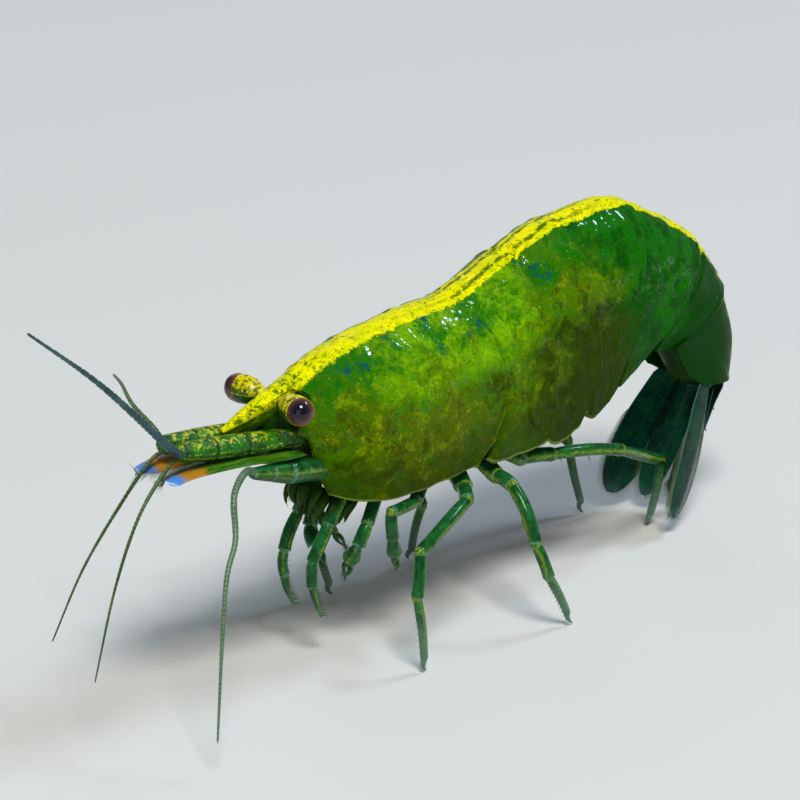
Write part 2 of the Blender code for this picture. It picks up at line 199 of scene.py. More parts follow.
def loft(name, rings, along):
    # a cylinder cut into rings, each ring then laid where it belongs
    count, corners = rings.shape[:2]
    clearSelection()
    bpy.ops.mesh.primitive_cylinder_add(vertices=corners, radius=1, depth=1, end_fill_type="NGON")
    piece = named(name)
    cutRings(piece, count - 2)
    raw = vertexSpots(piece)
    ring = np.rint((raw[:, 2] + 0.5) * (count - 1)).astype(int)
    corner = np.rint(np.arctan2(-raw[:, 0], raw[:, 1]) / math.tau * corners).astype(int) % corners
    moveVertices(piece, rings[ring, corner])
    measure(piece, "along", np.asarray(along)[ring])
    measure(piece, "around", corner / corners)
    bpy.ops.object.shade_smooth()
    return piece


def ringFrames(path, up):
    # directions across and above a path at each of its points, carried along it without twist
    above = np.asarray(up, float)
    rows = []
    for ahead in unit(np.gradient(path, axis=0)):
        above = unit(above - ahead * (above @ ahead))
        rows.append((np.cross(above, ahead), above))
    return (np.array(part) for part in zip(*rows))


def tube(name, rows, corners=12, up=(0, 0, 1)):
    # rows: x, y, z, half width and, where it differs, half height
    rows = np.asarray(rows, float)
    path, wide, high = rows[:, :3], rows[:, 3], rows[:, -1]
    across, above = ringFrames(path, up)
    turns = math.tau * np.arange(corners) / corners
    rings = path[:, None] + across[:, None] * (wide[:, None] * np.cos(turns))[..., None]
    rings = rings + above[:, None] * (high[:, None] * np.sin(turns))[..., None]
    return loft(name, rings, distances(path))


def finish(piece, look, slot, *nodes):
    # gives a piece its finish and its place on the body
    piece.data.materials.clear()
    piece.data.materials.append(look.material)
    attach(piece, "root")
    if nodes:
        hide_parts(*nodes)


# Shader maths
class Wire:
    def __init__(self, look, socket):
        self.look = look
        self.socket = socket

    def __add__(self, other):
        return self.look.maths("ADD", self, other)

    def __sub__(self, other):
        return self.look.maths("SUBTRACT", self, other)

    def __rsub__(self, other):
        return self.look.maths("SUBTRACT", other, self)

    def __mul__(self, other):
        return self.look.maths("MULTIPLY", self, other)

    def __pow__(self, other):
        return self.look.maths("POWER", self, other)

    __radd__ = __add__


class Look:
    def __init__(self, name, **fixed):
        self.material = bpy.data.materials.new(name)
        self.material.use_nodes = True
        self.tree = self.material.node_tree
        self.shader = self.tree.nodes["Principled BSDF"]
        self.paint(**fixed)

    def node(self, kind, settings=None, values=None, out=0):
        made = self.tree.nodes.new("ShaderNode" + kind)
        for key, value in (settings or {}).items():
            if key == "stops":
                self.setStops(made.color_ramp, value)
            else:
                setattr(made, key, value)
        for key, value in (values or {}).items():
            self.feed(made.inputs[key], value)
        return Wire(self, made.outputs[out])

    def setStops(self, ramp, stops):
        while len(ramp.elements) < len(stops):
            ramp.elements.new(0.5)
        for element, (place, colour) in zip(ramp.elements, stops):
            element.position = place
            element.color = (*colour, 1)

    def feed(self, socket, value):
        if isinstance(value, Wire):
            self.tree.links.new(value.socket, socket)
        elif socket.type == "RGBA":
            socket.default_value = (*value, 1)
        else:
            socket.default_value = value

    def paint(self, **sockets):
        for socket, value in sockets.items():
            self.feed(self.shader.inputs[socket.replace("_", " ")], value)

    def maths(self, operation, a, b):
        return self.node("Math", {"operation": operation}, {0: a, 1: b})

    def most(self, a, b):
        return self.maths("MAXIMUM", a, b)

    def size(self, value):
        return self.node("Math", {"operation": "ABSOLUTE"}, {0: value})

    def wave(self, value):
        return self.node("Math", {"operation": "SINE"}, {0: value})

    def laid(self, colour, *coats):
        # coats of a mask and a colour, each laid over what is there
        for mask, coat in coats:
            colour = self.node("Mix", {"data_type": "RGBA"}, {0: mask, 6: colour, 7: coat}, 2)
        return colour

    def fade(self, value, low, high):
        # 0 at low and 1 at high, either way round
        settings = {"interpolation_type": "SMOOTHSTEP"}
        if low < high:
            return self.node("MapRange", settings, {"Value": value, "From Min": low, "From Max": high})
        return 1 - self.node("MapRange", settings, {"Value": value, "From Min": high, "From Max": low})

    def spots(self):
        # places in millimetres on the shrimp's own scale
        here = self.node("TexCoord", out="Object")
        scaled = self.node("VectorMath", {"operation": "SCALE"}, {0: here, "Scale": 1 / mm})
        return self.node("VectorMath", {"operation": "SUBTRACT"}, {0: scaled, 1: tuple(shift)})

    def axis(self, vector, name):
        return self.node("SeparateXYZ", None, {0: vector}, name)

    def noise(self, vector, scale, detail=3.0, roughness=0.55, distortion=0.0):
        values = {"Scale": scale, "Detail": detail, "Roughness": roughness, "Distortion": distortion}
        return self.node("TexNoise", None, {"Vector": vector, **values})

    def cells(self, vector, scale):
        return self.node("TexVoronoi", None, {"Vector": vector, "Scale": scale}, "Distance")

    def own(self, name):
        # a number that measure gave the piece
        return self.node("Attribute", {"attribute_name": name}, None, "Fac")

    def relief(self, height, strength, depth):
        # lights the surface as if height stood out of it, by up to depth in millimetres
        values = {"Height": height, "Strength": strength, "Distance": depth * mm}
        self.paint(Normal=self.node("Bump", None, values))


# Plates of the back. A station is the ridge's x and height, on the tail its lean in degrees too, and then the
# depth and half width of the arch that hangs from it.
plateShape = {
    "archEnd": math.radians(118),  # how far round the arch goes on each side
    "carapaceStations": [
        (2.75, 8.62, 3.5, 0.97), (3.7, 8.98, 4.1, 1.5), (5.1, 9.28, 4.55, 1.88),
        (6.9, 9.50, 4.75, 2.02), (9.1, 9.62, 4.75, 2.0),
    ],
    "tailStations": [
        (9.1, 9.62, 3, 4.8, 2.0), (11.2, 10.28, 5, 5.35, 1.98), (13.0, 10.83, 2, 5.55, 1.98),
        (16.1, 10.88, -15, 5.2, 1.85), (19.1, 9.2, -42, 3.75, 1.5), (20.24, 7.62, -60, 2.9, 1.28),
        (20.98, 4.05, -98, 1.95, 0.93),
    ],
    "flapRounding": [0.15, 0.42, 0.42, 0.5, 0.42, 0.1],  # how far each tail plate's side hangs down midway
    "bellyShare": [0.66, 0.62, 0.62, 0.68, 0.84, 1.02],  # share of each tail plate's depth that flesh fills
    "thickness": 0.09,
}

rippleShape = {"waves": 26, "shortest": 0.42, "longest": 1.3, "height": 0.00416025}
rippleLengths = np.linspace(rippleShape["shortest"], rippleShape["longest"], rippleShape["waves"])
rippleTurns = unit(chance.normal(0, 1, (rippleShape["waves"], 3))) * (math.tau / rippleLengths)[:, None]


def ripple(spots):
    # a gentle unevenness of the plates' outer face
    waves = np.sin(spots @ rippleTurns.T + np.arange(rippleShape["waves"]))
    return waves.sum(-1) * rippleShape["height"]


def archOut(depth, halfWidth, turn):
    # y and drop of the arch's outer face, turn from -1 at the left edge to 1 at the right one
    angle = turn * plateShape["archEnd"]
    semi = depth / (1 - math.cos(plateShape["archEnd"]))
    return halfWidth * np.sin(angle), semi * (1 - np.cos(angle)), angle


def hung(x, y, z, lean, drop):
    # the place at a drop below the ridge of a plate that leans by some degrees
    turn = np.radians(lean)
    return np.stack(np.broadcast_arrays(x + np.sin(turn) * drop, y, z - np.cos(turn) * drop), -1)


# Shares across run from 0 on the back to 1 at the lower edge, shares along from 0 at the front edge to 1 at
# the rear one. A swelling is given by where it lies, its width and, last, its height.
carapaceShape = {
    "cuts": (176, 136),
    "inside": (6.0, 0, 6.5),  # a point in its hollow
    "frontSlope": 0.75,  # how far the front edge falls back towards the lower edge
    "rearLobe": 0.75,  # how far each side reaches back
    "orbit": (0.34, 0.12, 0.36),  # the eye's notch, across
    "spine": (0.53, 0.042, 0.5),  # the spine below the eye, across
    "brow": ((0.31, 0.11), (0.0, 0.09), 0.16),  # the edge above the eye, across and along
    "gills": ((0.62, 0.22), (0.6, 0.3), 0.06),  # the bulge of the sides, across and along
    "groove": ((0.42, 0.2), (0.22, 0.035), 0.07, 0.2),  # the neck's, across and along, and its slant
    "lowerRim": (0.985, 0.012, 0.035),
    "rearRim": (0.99, 0.008, 0.035),
    "frontRim": (0.01, 0.007, 0.035),
    "corner": 0.3,  # how far back the lower front corner lies
    "rearCorner": 0.35,  # how far forwards the lower rear corner lies
    "beakShare": 0.18,  # share of the half arch that runs on into the rostrum's roof
    "beakFrom": 0.17,  # share of the carapace's length that is drawn out into it
}


def carapaceSpots(along, around):
    shape = carapaceShape
    turn = 2 * around - 1
    way = np.abs(turn)
    x, z, depth, wide = np.moveaxis(rowAt(plateShape["carapaceStations"], along * 4), -1, 0)
    y, drop, angle = archOut(depth, wide, turn)
    where, width, length = shape["spine"]
    spine = length * np.exp(-np.abs((way - where) / width) ** 1.5) * (1 - smooth(along, 0, 0.09))
    edge = hill(way, *shape["orbit"]) - spine + shape["corner"] * smooth(way, 0.72, 1.0) ** 2
    x = x + shape["frontSlope"] * way**2 * (1 - along)
    x = x + edge * (1 - along) ** 2 * (1 - smooth(along, 0.1, 0.6))
    x = x + np.sin(math.pi * way**1.4) * shape["rearLobe"] * along**3
    x = x - smooth(way, 0.86, 1.0) * smooth(along, 0.75, 1.0) * shape["rearCorner"]
    across, lengthways, high = shape["brow"]
    swell = hill(way, *across, high) * hill(along, *lengthways)
    across, lengthways, high = shape["gills"]
    swell = swell + hill(way, *across, high) * hill(along, *lengthways)
    across, lengthways, deep, slant = shape["groove"]
    swell = swell - hill(way, *across, deep) * hill(along - slant * way, *lengthways)
    swell = swell + hill(way, *shape["lowerRim"]) + hill(along, *shape["rearRim"])
    swell = swell + hill(along, *shape["frontRim"]) * smooth(way, 0.22, 0.3)
    swell = swell + ripple(np.stack([x, y, z - drop], -1))
    y = y + swell * np.sin(angle)
    z = z - drop + swell * np.cos(angle)
    reach = (1 - np.clip(along / shape["beakFrom"], 0, 1)) ** 1.6
    beak = (1 - np.clip(way / shape["beakShare"], 0, 1) ** 2) * reach * rostrumLength()
    fall = (rostrumShape["base"][1] - rostrumShape["tip"][1]) / rostrumLength()
    return np.stack([x - beak, y, z - beak * fall + roofRise(beak)], -1), along - 1 - 0.1 * beak


def shell(name, cuts, shape, inside):
    # a sheet whose faces look away from a point inside it, given its thickness inwards
    piece = sheet(name, *cuts, shape)
    if sum(face.normal.dot(face.center - toFrame(inside)) * face.area for face in piece.data.polygons) < 0:
        active(piece)
        bpy.ops.object.mode_set(mode="EDIT")
        bpy.ops.mesh.select_all(action="SELECT")
        bpy.ops.mesh.flip_normals()
        bpy.ops.object.mode_set(mode="OBJECT")
    thickness = plateShape["thickness"] * mm
    applyModifier(piece, "SOLIDIFY", thickness=thickness, offset=-1.0, use_even_offset=False)
    return piece


rostrumShape = {
    "base": (2.75, 8.62),
    "tip": (0.42, 7.77),
    "crestFrom": 3.9,  # where the toothed crest starts on the carapace
    "arch": 0.02,  # how much the roof rises in its middle
    "depth": 1.1,
    "tipDepth": 0.24,
    "teeth": 19,
    "toothHeight": 0.07,
    "lowerTeeth": 8.8,  # as many as would fit its whole length; they stand on the outer half
    "lowerToothHeight": 0.05,
    "cuts": 190,
}


def rostrumLength():
    return rostrumShape["base"][0] - rostrumShape["tip"][0]


def roofRise(beak):
    return rostrumShape["arch"] * beak * (rostrumLength() - beak)


def rostrumRings():
    # the toothed crest on top and the deep keel under the roof, as one thin upright plate
    shape = rostrumShape
    (baseX, baseZ), (tipX, tipZ) = shape["base"], shape["tip"]
    share = np.linspace(0, 1, shape["cuts"] + 1)
    x = shape["crestFrom"] + (tipX - shape["crestFrom"]) * share
    stations = np.array(plateShape["carapaceStations"])
    back = np.interp(x, stations[:, 0], stations[:, 1])
    front = tipZ + (baseZ - tipZ) * (x - tipX) / rostrumLength()
    top = np.where(x > baseX, back, front + roofRise(np.clip(baseX - x, 0, None)))
    free = np.clip((baseX - x) / rostrumLength(), 0, 1)
    depth = shape["tipDepth"] + (shape["depth"] - shape["tipDepth"]) * (1 - free) ** 0.8
    saw = (share * shape["teeth"]) % 1.0
    tooth = 0.02 + shape["toothHeight"] * saw**1.5 * smooth(share, 0.0, 0.25) * (1 - share) ** 0.2
    saw = (free * shape["lowerTeeth"]) % 1.0
    lower = shape["lowerToothHeight"] * saw**2 * smooth(free, 0.5, 0.65) * (1 - free) ** 0.2
    # half width and drop of the roof above it, which this keel carries
    turn = carapaceShape["beakShare"] * plateShape["archEnd"] * np.sqrt(1 - free)
    _, _, roofDepth, roofWide = plateShape["carapaceStations"][0]
    half = roofWide * np.sin(turn)
    fall = roofDepth / (1 - math.cos(plateShape["archEnd"])) * (1 - np.cos(turn))
    # half width and height of the plate's corners down one side, from the crest to the keel
    corners = [
        (0.006 + 0 * x, tooth), (0.06 * (1.2 - share), -0.01 + 0 * x),
        (half * 0.5, -0.045 - fall * 0.25), (half * 0.93, -0.06 - fall * 0.9),
        (half * 0.82, -0.12 - fall - depth * 0.08), (half * 0.55, -fall - depth * 0.36),
        (half * 0.3 + 0.015, -fall * 0.6 - depth * 0.66), (0.012 + 0 * x, -depth - lower),
    ]
    tip = np.where(share > 0.99, 0.35, 1.0)
    ring = [(x, y * tip, top + high * tip) for y, high in corners]
    ring += [(x, -y, z) for x, y, z in reversed(ring)]
    return np.stack([np.stack(spot, -1) for spot in ring], 1)


def makeCarapace(look):
    plate = shell("carapace", carapaceShape["cuts"], carapaceSpots, carapaceShape["inside"])
    rings = rostrumRings()
    rostrum = loft("rostrum", rings, np.full(len(rings), 0.3))
    corner = measured(rostrum, "around")
    below = np.minimum(corner, 1 - corner) * 2
    measure(rostrum, "around", 0.5 + 0.3 * below)
    measure(rostrum, "body", -1.1)
    finish(joined("carapace", [plate, rostrum]), look, "shell", "carapace")


# One number for each tail plate where there are six
tailShape = {
    "cuts": (44, 112),
    "under": 0.12,  # how far a plate runs under the one before it
    "underCarapace": 0.22,  # how much further the first one does
    "over": [0.34, 0.36, 0.34, 0.3, 0.28, 0.0],  # how far a plate runs over the one behind
    "flapUnder": [0.0, -0.55, 0.16, 0.2, 0.2, 0.0],  # how far its side starts further back than its ridge
    "flapOver": [0.0, 0.25, 0.0, 0.0, 0.0, 0.0],  # how far its side ends further back
    "cornerFront": [0.2, 0.5, 0.3, 0.3, 0.35, 0.5],
    "cornerRear": [0.3, 0.35, 0.4, 0.45, 0.6, 0.75],
    "rimLift": [0.075, 0.075, 0.075, 0.075, 0.075, 0.015],
    "tuck": 0.10,  # how far the front edge dips
    "saddle": 0.07,  # how far the second plate's side stands off the first
    "rearRim": (0.05, 0.04, 0.03),  # distance from the rear edge, width, height
    "crease": (0.62, 0.07, 0.035),  # distance from the front edge, width, depth
    "lowerRim": (0.985, 0.012, 0.03),  # share across, width, height
    "hump": (5.5, 0.42, 0.3),  # swelling of the last plates' back: where along them, how long, how high
}


def tailSpots(plate):
    shape = tailShape
    stations = plateShape["tailStations"]
    length = math.dist(stations[plate][:2], stations[plate + 1][:2])
    first = plate - shape["under"] / length
    last = plate + 1 + shape["over"][plate] / length

    def spots(along, around):
        turn = 2 * around - 1
        way = np.abs(turn)
        flank = smooth(way, 0.5, 0.85)
        edge = smooth(way, 0.8, 1.0) ** 1.5
        begin = first - (shape["underCarapace"] / length if plate == 0 else 0.0)
        begin = begin + (flank * shape["flapUnder"][plate] + edge * shape["cornerFront"][plate]) / length
        end = last + (flank * shape["flapOver"][plate] - edge * shape["cornerRear"][plate]) / length
        place = begin + (end - begin) * along
        x, z, lean, depth, wide = np.moveaxis(rowAt(stations, place), -1, 0)
        share = np.clip(place - plate, 0, 1)
        if plate == 0:
            x = x + carapaceShape["rearLobe"] * (1 - share) * np.sin(math.pi * way**1.4)
        y, drop, angle = archOut(depth, wide, turn)
        flap = plateShape["flapRounding"][plate] * np.sqrt(np.sin(math.pi * share).clip(0))
        drop = drop + flap * np.maximum(0, way - 0.55) / 0.45
        fromFront = along * (last - first) * length
        fromRear = (1 - along) * (last - first) * length
        free = flank if plate == 1 else 0.0
        lift = shape["rimLift"][plate] * smooth(along, 0.45, 1.0)
        lift = lift - shape["tuck"] * (1 - smooth(fromFront, 0.05, 0.5)) * (1 - free)
        lift = lift + shape["saddle"] * free * (1 - smooth(fromFront, 0.2, 1.4))
        lift = lift + hill(fromRear, *shape["rearRim"]) + hill(way, *shape["lowerRim"])
        lift = lift - hill(fromFront, *shape["crease"]) * (1 - flank)
        lift = lift + hill(place, *shape["hump"]) * (1 - smooth(way, 0.2, 0.8))
        lift = lift + ripple(np.stack([x, y, z - drop], -1))
        return hung(x, y + lift * np.sin(angle), z, lean, drop - lift * np.cos(angle)), place

    return spots


def makeTailPlates(look):
    for plate in range(6):
        x, z, lean, depth, _ = np.mean(plateShape["tailStations"][plate : plate + 2], axis=0)
        inside = hung(x, 0, z, lean, depth * 0.45)
        piece = shell(f"tailPlate{plate + 1}", tailShape["cuts"], tailSpots(plate), inside)
        finish(piece, look, "tail_shell", f"pleonite_{plate + 1}")


# The body under the plates, in one skin from the mouth to the tail fan
fleshShape = {
    "inset": 0.19,  # how far under the plates' outer face it stays
    "belly": 4.3,  # depth of the head and chest below the ridge
    "chin": (1.55, 2.9, 5.2),  # how far the head's underside rises, from where to where
    "narrow": 0.8,  # its width beside the carapace's
    "pinch": 0.5,  # how much narrower the chest is below
    "tailPinch": 0.12,
    "fold": (0.12, 0.12),  # how far the belly draws in between two plates, and over what length
    "snout": 1.2,  # how far the front of the head bulges out between the eyes and the jaws
    "ends": (0.9, 0.7, 0.42, 0.15),  # sizes of the rings that close both ends
    "cuts": 50,  # rings under the carapace; the tail has twice as many
    "corners": 56,
}


def underArch(drop, depth, wide):
    # half width of a plate's outer face at a drop below its ridge
    semi = depth / (1 - math.cos(plateShape["archEnd"]))
    return wide * np.sqrt(np.clip(1 - (1 - np.minimum(drop, semi) / semi) ** 2, 0, 1))


def fleshRings():
    shape = fleshShape
    turns = math.tau * np.arange(shape["corners"]) / shape["corners"]
    rise, chinFrom, chinTo = shape["chin"]
    foldDepth, foldLength = shape["fold"]
    rows = []
    for place in np.linspace(0.02, 1, shape["cuts"], endpoint=False):
        x, z, depth, wide = rowAt(plateShape["carapaceStations"], place * 4)
        top = shape["inset"] + 0.3 * (1 - place) ** 6
        bottom = z - shape["belly"] - rise * (1 - smooth(x, chinFrom, chinTo))
        x = x + 0.45 * (1 - place)
        rows.append((x, z, 0.0, depth, top, bottom, wide, shape["narrow"], shape["pinch"]))
    for place in np.linspace(0.12, 5.97, 2 * shape["cuts"]):
        x, z, lean, depth, wide = rowAt(plateShape["tailStations"], place)
        share = np.interp(place, np.arange(6) + 0.5, plateShape["bellyShare"])
        bottom = depth * share - 0.1 + hill(place, round(place), foldLength, foldDepth)
        narrow = 0.82 + 0.1 * smooth(place, 4.2, 5.2)
        rows.append((x, z, lean, depth, shape["inset"], bottom, wide, narrow, shape["tailPinch"]))
    spots = []
    for x, z, lean, depth, top, bottom, wide, narrow, pinch in rows:
        middle, half = (top + bottom) / 2, (bottom - top) / 2
        drop = middle - half * np.cos(turns)
        free = narrow * wide * np.abs(np.sin(turns)) * (1 - pinch * smooth(drop, middle, bottom))
        y = np.minimum(free, np.maximum(underArch(drop, depth, wide) - shape["inset"], 0.0))
        spots.append(hung(x, -np.sign(np.sin(turns)) * y, z, lean, drop))
    first, last = spots[0], spots[-1]
    for share in shape["ends"]:
        pull = np.array([shape["snout"], 0, -0.3]) * (1 - share**2)
        spots.insert(0, first.mean(0) + (first - first.mean(0)) * share - pull)
        spots.append(last.mean(0) + (last - last.mean(0)) * share - np.array([0.04, 0, 0.35]) * (1 - share))
    return np.array(spots)


def makeFlesh(look):
    rings = fleshRings()
    finish(loft("flesh", rings, np.linspace(0, 1, len(rings))), look, "belly", "thorax")


# Thin blades: antennal scales, tail fan and swimming paddles
def bladeRings(shape, root, tip, facing, cuts, corners):
    root, tip, facing = (np.asarray(spot, float) for spot in (root, tip, facing))
    length = np.linalg.norm(tip - root)
    ahead = (tip - root) / length
    up = unit(facing - ahead * (facing @ ahead))
    across = np.cross(up, ahead)
    shares = (1 - np.cos(np.linspace(0, math.pi, cuts + 1))) / 2
    turns = math.tau * np.arange(corners) / corners
    rings = []
    for share in shares:
        plus, minus = shape["outline"](share)  # half width to each side
        wide = np.where(np.cos(turns) >= 0, plus, minus) * np.cos(turns)
        rib = hill(wide, 0.0, shape["ribWidth"], shape["rib"]) * (1 - share) ** 0.5
        ends = min(1.0, 12 * (1 - share), 0.3 + 12 * share)
        high = (shape["thickness"] / 2 * (1 - 0.6 * np.cos(turns) ** 2) + rib) * np.sin(turns) * ends
        sag = shape["camber"] * (wide / max(plus, minus, 0.05)) ** 2 * min(1.0, 4 * share)
        high = high - sag + shape["bow"] * math.sin(math.pi * share)
        rings.append(root + ahead * length * share + across * wide[:, None] + up * high[:, None])
    return np.array(rings), shares


def blade(name, shape, root, tip, facing, corners=32):
    return loft(name, *bladeRings(shape, root, tip, facing, 60, corners))


def fringe(name, shape, root, tip, facing, side, scale=1.0):
    # hairs along a blade's edge, side 1 for its plus edge and -1 for its minus one
    style = shape["hairs"]
    corners = 32
    rings, shares = bladeRings(shape, root, tip, facing, 160, corners)
    edge = rings[:, 0 if side > 0 else corners // 2]
    steps = distances(edge)
    begin = np.interp(style["from"], shares, steps)
    wanted = np.linspace(begin, steps[-1], style["count"])
    pick = rowsBetween(wanted, steps, edge)
    along = rowsBetween(wanted, steps, unit(np.gradient(edge, axis=0), 1e-9))
    out = unit(pick - rowsBetween(wanted, steps, rings.mean(1)), 1e-9)
    share = (wanted - begin) / (steps[-1] - begin + 1e-9)
    way = unit(out * (0.75 + 0.25 * share)[:, None] + along * style["lay"])
    reach = style["length"] * scale * (0.55 + 0.45 * np.sin(math.pi * np.clip(share * 0.9 + 0.1, 0, 1)))
    reach = reach * (0.92 + 0.16 * chance.random(style["count"]))
    return hairs(name, pick - way * 0.03, pick + way * reach[:, None], style["thick"], along * 0.12)


def hairs(name, roots, tips, thick, droop=0.0):
    # one hair is modelled, and its mesh is then copied to every root
    clearSelection()
    bpy.ops.mesh.primitive_cone_add(vertices=4, radius1=1, radius2=0.12, depth=1, end_fill_type="NGON")
    piece = named(name)
    cutRings(piece, 3)
    one = vertexSpots(piece)
    faces = [tuple(face.vertices) for face in piece.data.polygons]
    rise = one[:, 2] + 0.5
    ahead = tips - roots
    across = unit(np.cross(ahead, (0.3, 0.2, 1.0)), 1e-9)
    above = np.cross(unit(ahead, 1e-9), across)
    droop = np.broadcast_to(droop, roots.shape)
    parts = ((ahead, rise), (droop, rise**2), (across, one[:, 0] * thick), (above, one[:, 1] * thick))
    spots = roots[:, None] + sum(way[:, None] * share[None, :, None] for way, share in parts)
    count, size = len(roots), len(one)
    made = [tuple(corner + k * size for corner in face) for k in range(count) for face in faces]
    mesh = bpy.data.meshes.new(name)
    mesh.from_pydata(((spots.reshape(-1, 3) + shift) * mm).tolist(), [], made)
    old = piece.data
    piece.data = mesh
    bpy.data.meshes.remove(old)
    mesh.name = name
    measure(piece, "along", np.tile(rise, count))
    measure(piece, "around", np.repeat(np.arange(count) / count, size))
    measure(piece, "joint", 0.5)
    active(piece)
    bpy.ops.object.shade_smooth()
    return piece


# Limbs, segment by segment
segmentShape = {
    "profile": [  # share of the length, share of the width
        (0, 0.2), (0.004, 0.62), (0.02, 0.84), (0.06, 0.92), (0.14, 0.96), (0.3, 1.0), (0.5, 1.0),
        (0.7, 0.99), (0.84, 0.99), (0.92, 1.0), (0.96, 1.0), (0.985, 0.97), (0.997, 0.85), (1.0, 0.5),
    ],
    "corners": 16,
    "flare": 0.025,  # how much it widens before its far end
}


def segment(name, start, end, widths, bow=(0, 0, 0), flat=1.0, up=(0, 0, 1)):
    share, profile = np.array(segmentShape["profile"]).T
    width = (widths[0] + (widths[1] - widths[0]) * share) * profile
    width = width * (1 + segmentShape["flare"] * smooth(share, 0.84, 0.96))
    path = start + (end - start) * share[:, None] + np.asarray(bow) * np.sin(math.pi * share)[:, None]
    piece = tube(name, np.column_stack([path, width, width * flat]), segmentShape["corners"], up)
    along = measured(piece, "along")
    measure(piece, "joint", np.minimum(along, np.linalg.norm(end - start) - along))
    return piece


peduncleShape = {
    # where the rings lie along each segment
    "shares": (0.012, 0.04, 0.075, 0.13, 0.25, 0.4, 0.6, 0.75, 0.87, 0.925, 0.96, 0.988),
    "grooveWidth": 0.04,
    "ends": ((0.05, 0.9), (0.09, 0.68), (0.11, 0.3)),  # how far out each closing ring is, and its size
}


def peduncle(joints, shape):
    # a row of stout segments, with only a narrow groove where one meets the next
    rows, gaps = [], []
    for start, end, wide, nextWide in zip(joints, joints[1:], shape["widths"], shape["widths"][1:]):
        for share in peduncleShape["shares"]:
            near = min(share, 1 - share) * np.linalg.norm(end - start)
            width = wide + (nextWide - wide) * share
            width = width * (1 - hill(near, 0.0, peduncleShape["grooveWidth"], shape["groove"]))
            rows.append((*(start + (end - start) * share), width, width * shape["flat"]))
            gaps.append(near)
    first, last = np.array(rows[0]), np.array(rows[-1])
    ahead = unit(joints[-1] - joints[-2])
    for out, size in peduncleShape["ends"]:
        rows.append((*(last[:3] + ahead * out), *(last[3:] * size)))
        rows.insert(0, (*(first[:3] + (joints[0] - joints[1]) * out), *(first[3:] * size)))
        gaps = [0.0, *gaps, 0.05]
    piece = tube("peduncle", rows, shape["corners"])
    steps = distances(np.array(rows)[:, :3])
    measure(piece, "joint", np.interp(measured(piece, "along"), steps, gaps))
    return piece


def knuckle(spot, radius):
    clearSelection()
    place = toFrame(spot)
    bpy.ops.mesh.primitive_uv_sphere_add(segments=14, ring_count=10, radius=radius * mm, location=place)
    bpy.ops.object.transform_apply()
    piece = named("knuckle")
    for name, value in (("along", 0), ("around", 0), ("joint", 0.06)):
        measure(piece, name, value)
    bpy.ops.object.shade_smooth()
    return piece


clawProfile = [  # share of the length, share of the width
    (0, 0.1), (0.02, 0.6), (0.1, 0.95), (0.25, 1.0), (0.45, 0.85), (0.65, 0.62), (0.82, 0.4), (0.94, 0.22),
    (1.0, 0.06),
]


def claw(name, start, end, width, bend, corners=8):
    share, size = np.array(clawProfile).T
    path = start + (end - start) * share[:, None] + np.asarray(bend) * np.sin(math.pi * share)[:, None]
    piece = tube(name, np.column_stack([path, size * width]), corners, (1, 0.2, 0.1))
    measure(piece, "joint", 0.55)
    return piece


def spikes(start, end, side, count, length, thick, offset):
    # a row of stout spines down one side of a segment, offset from its middle line
    ahead = unit(end - start)
    side = unit(side - ahead * (side @ ahead))
    roots = start + (end - start) * np.linspace(0.12, 0.95, count)[:, None] + side * offset
    return hairs("spines", roots, roots + (side * 0.75 + ahead * 0.65) * length, thick)


def tuft(start, end, low, high, count, fan, spread):
    # roots and tips of the hairs between two shares of a line
    roots = start + (end - start) * np.linspace(low, high, count)[:, None]
    return roots, roots + fan + chance.normal(0, spread, (count, 3))


legShape = {
    "joints": {  # hip, bend, knee, wrist and the foot's x and y
        "left3": [(8.8, -1.15, 4.3), (7.8, -2.4, 4.25), (5.35, -3.0, 3.5), (4.95, -3.3, 2.3), (5.1, -3.5)],
        "left4": [(9.8, -1.1, 4.3), (9.65, -2.4, 4.2), (9.45, -3.6, 2.75), (9.75, -3.85, 1.7), (10.6, -4.0)],
        "left5": [(10.4, -1.0, 4.35), (12.2, -1.5, 4.2), (14.8, -1.8, 3.7), (17.6, -0.8, 2.3), (17.6, -0.3)],
        "right3": [(8.8, 1.15, 4.3), (8.0, 2.3, 4.25), (6.3, 2.6, 3.9), (6.3, 2.6, 2.4), (6.9, 2.4)],
        "right4": [(9.8, 1.1, 4.3), (10.0, 2.3, 4.2), (10.2, 2.4, 3.1), (10.3, 2.1, 2.0), (10.38, 2.75)],
        "right5": [(10.4, 1.0, 4.35), (12.3, 1.6, 4.2), (14.8, 2.3, 4.0), (16.5, 2.1, 2.4), (16.8, 1.7)],
    },
    # half widths at both ends
    "coxa": (0.32, 0.29),
    "ischium": (0.22, 0.22),
    "merus": (0.215, 0.2),
    "carpus": (0.175, 0.185),
    "propodus": (0.15, 0.115),
    "dactyl": 0.085,
    "knuckles": (0.25, 0.205, 0.185, 0.16, 0.105),
    "coxaEnd": 0.42,  # share of the way from hip to bend
    "tuck": (0.5, 0.42),  # how far in and up the leg is rooted in the body
    "ankle": 0.42,  # height of the joint above the foot's claw
    # count, length, thickness and distance from the segment's middle line
    "shinSpines": (9, 0.16, 0.016, 0.08),
    "thighSpines": (3, 0.2, 0.024, 0.15),
    "footSpines": (5, 0.07, 0.011, 0.03),
}


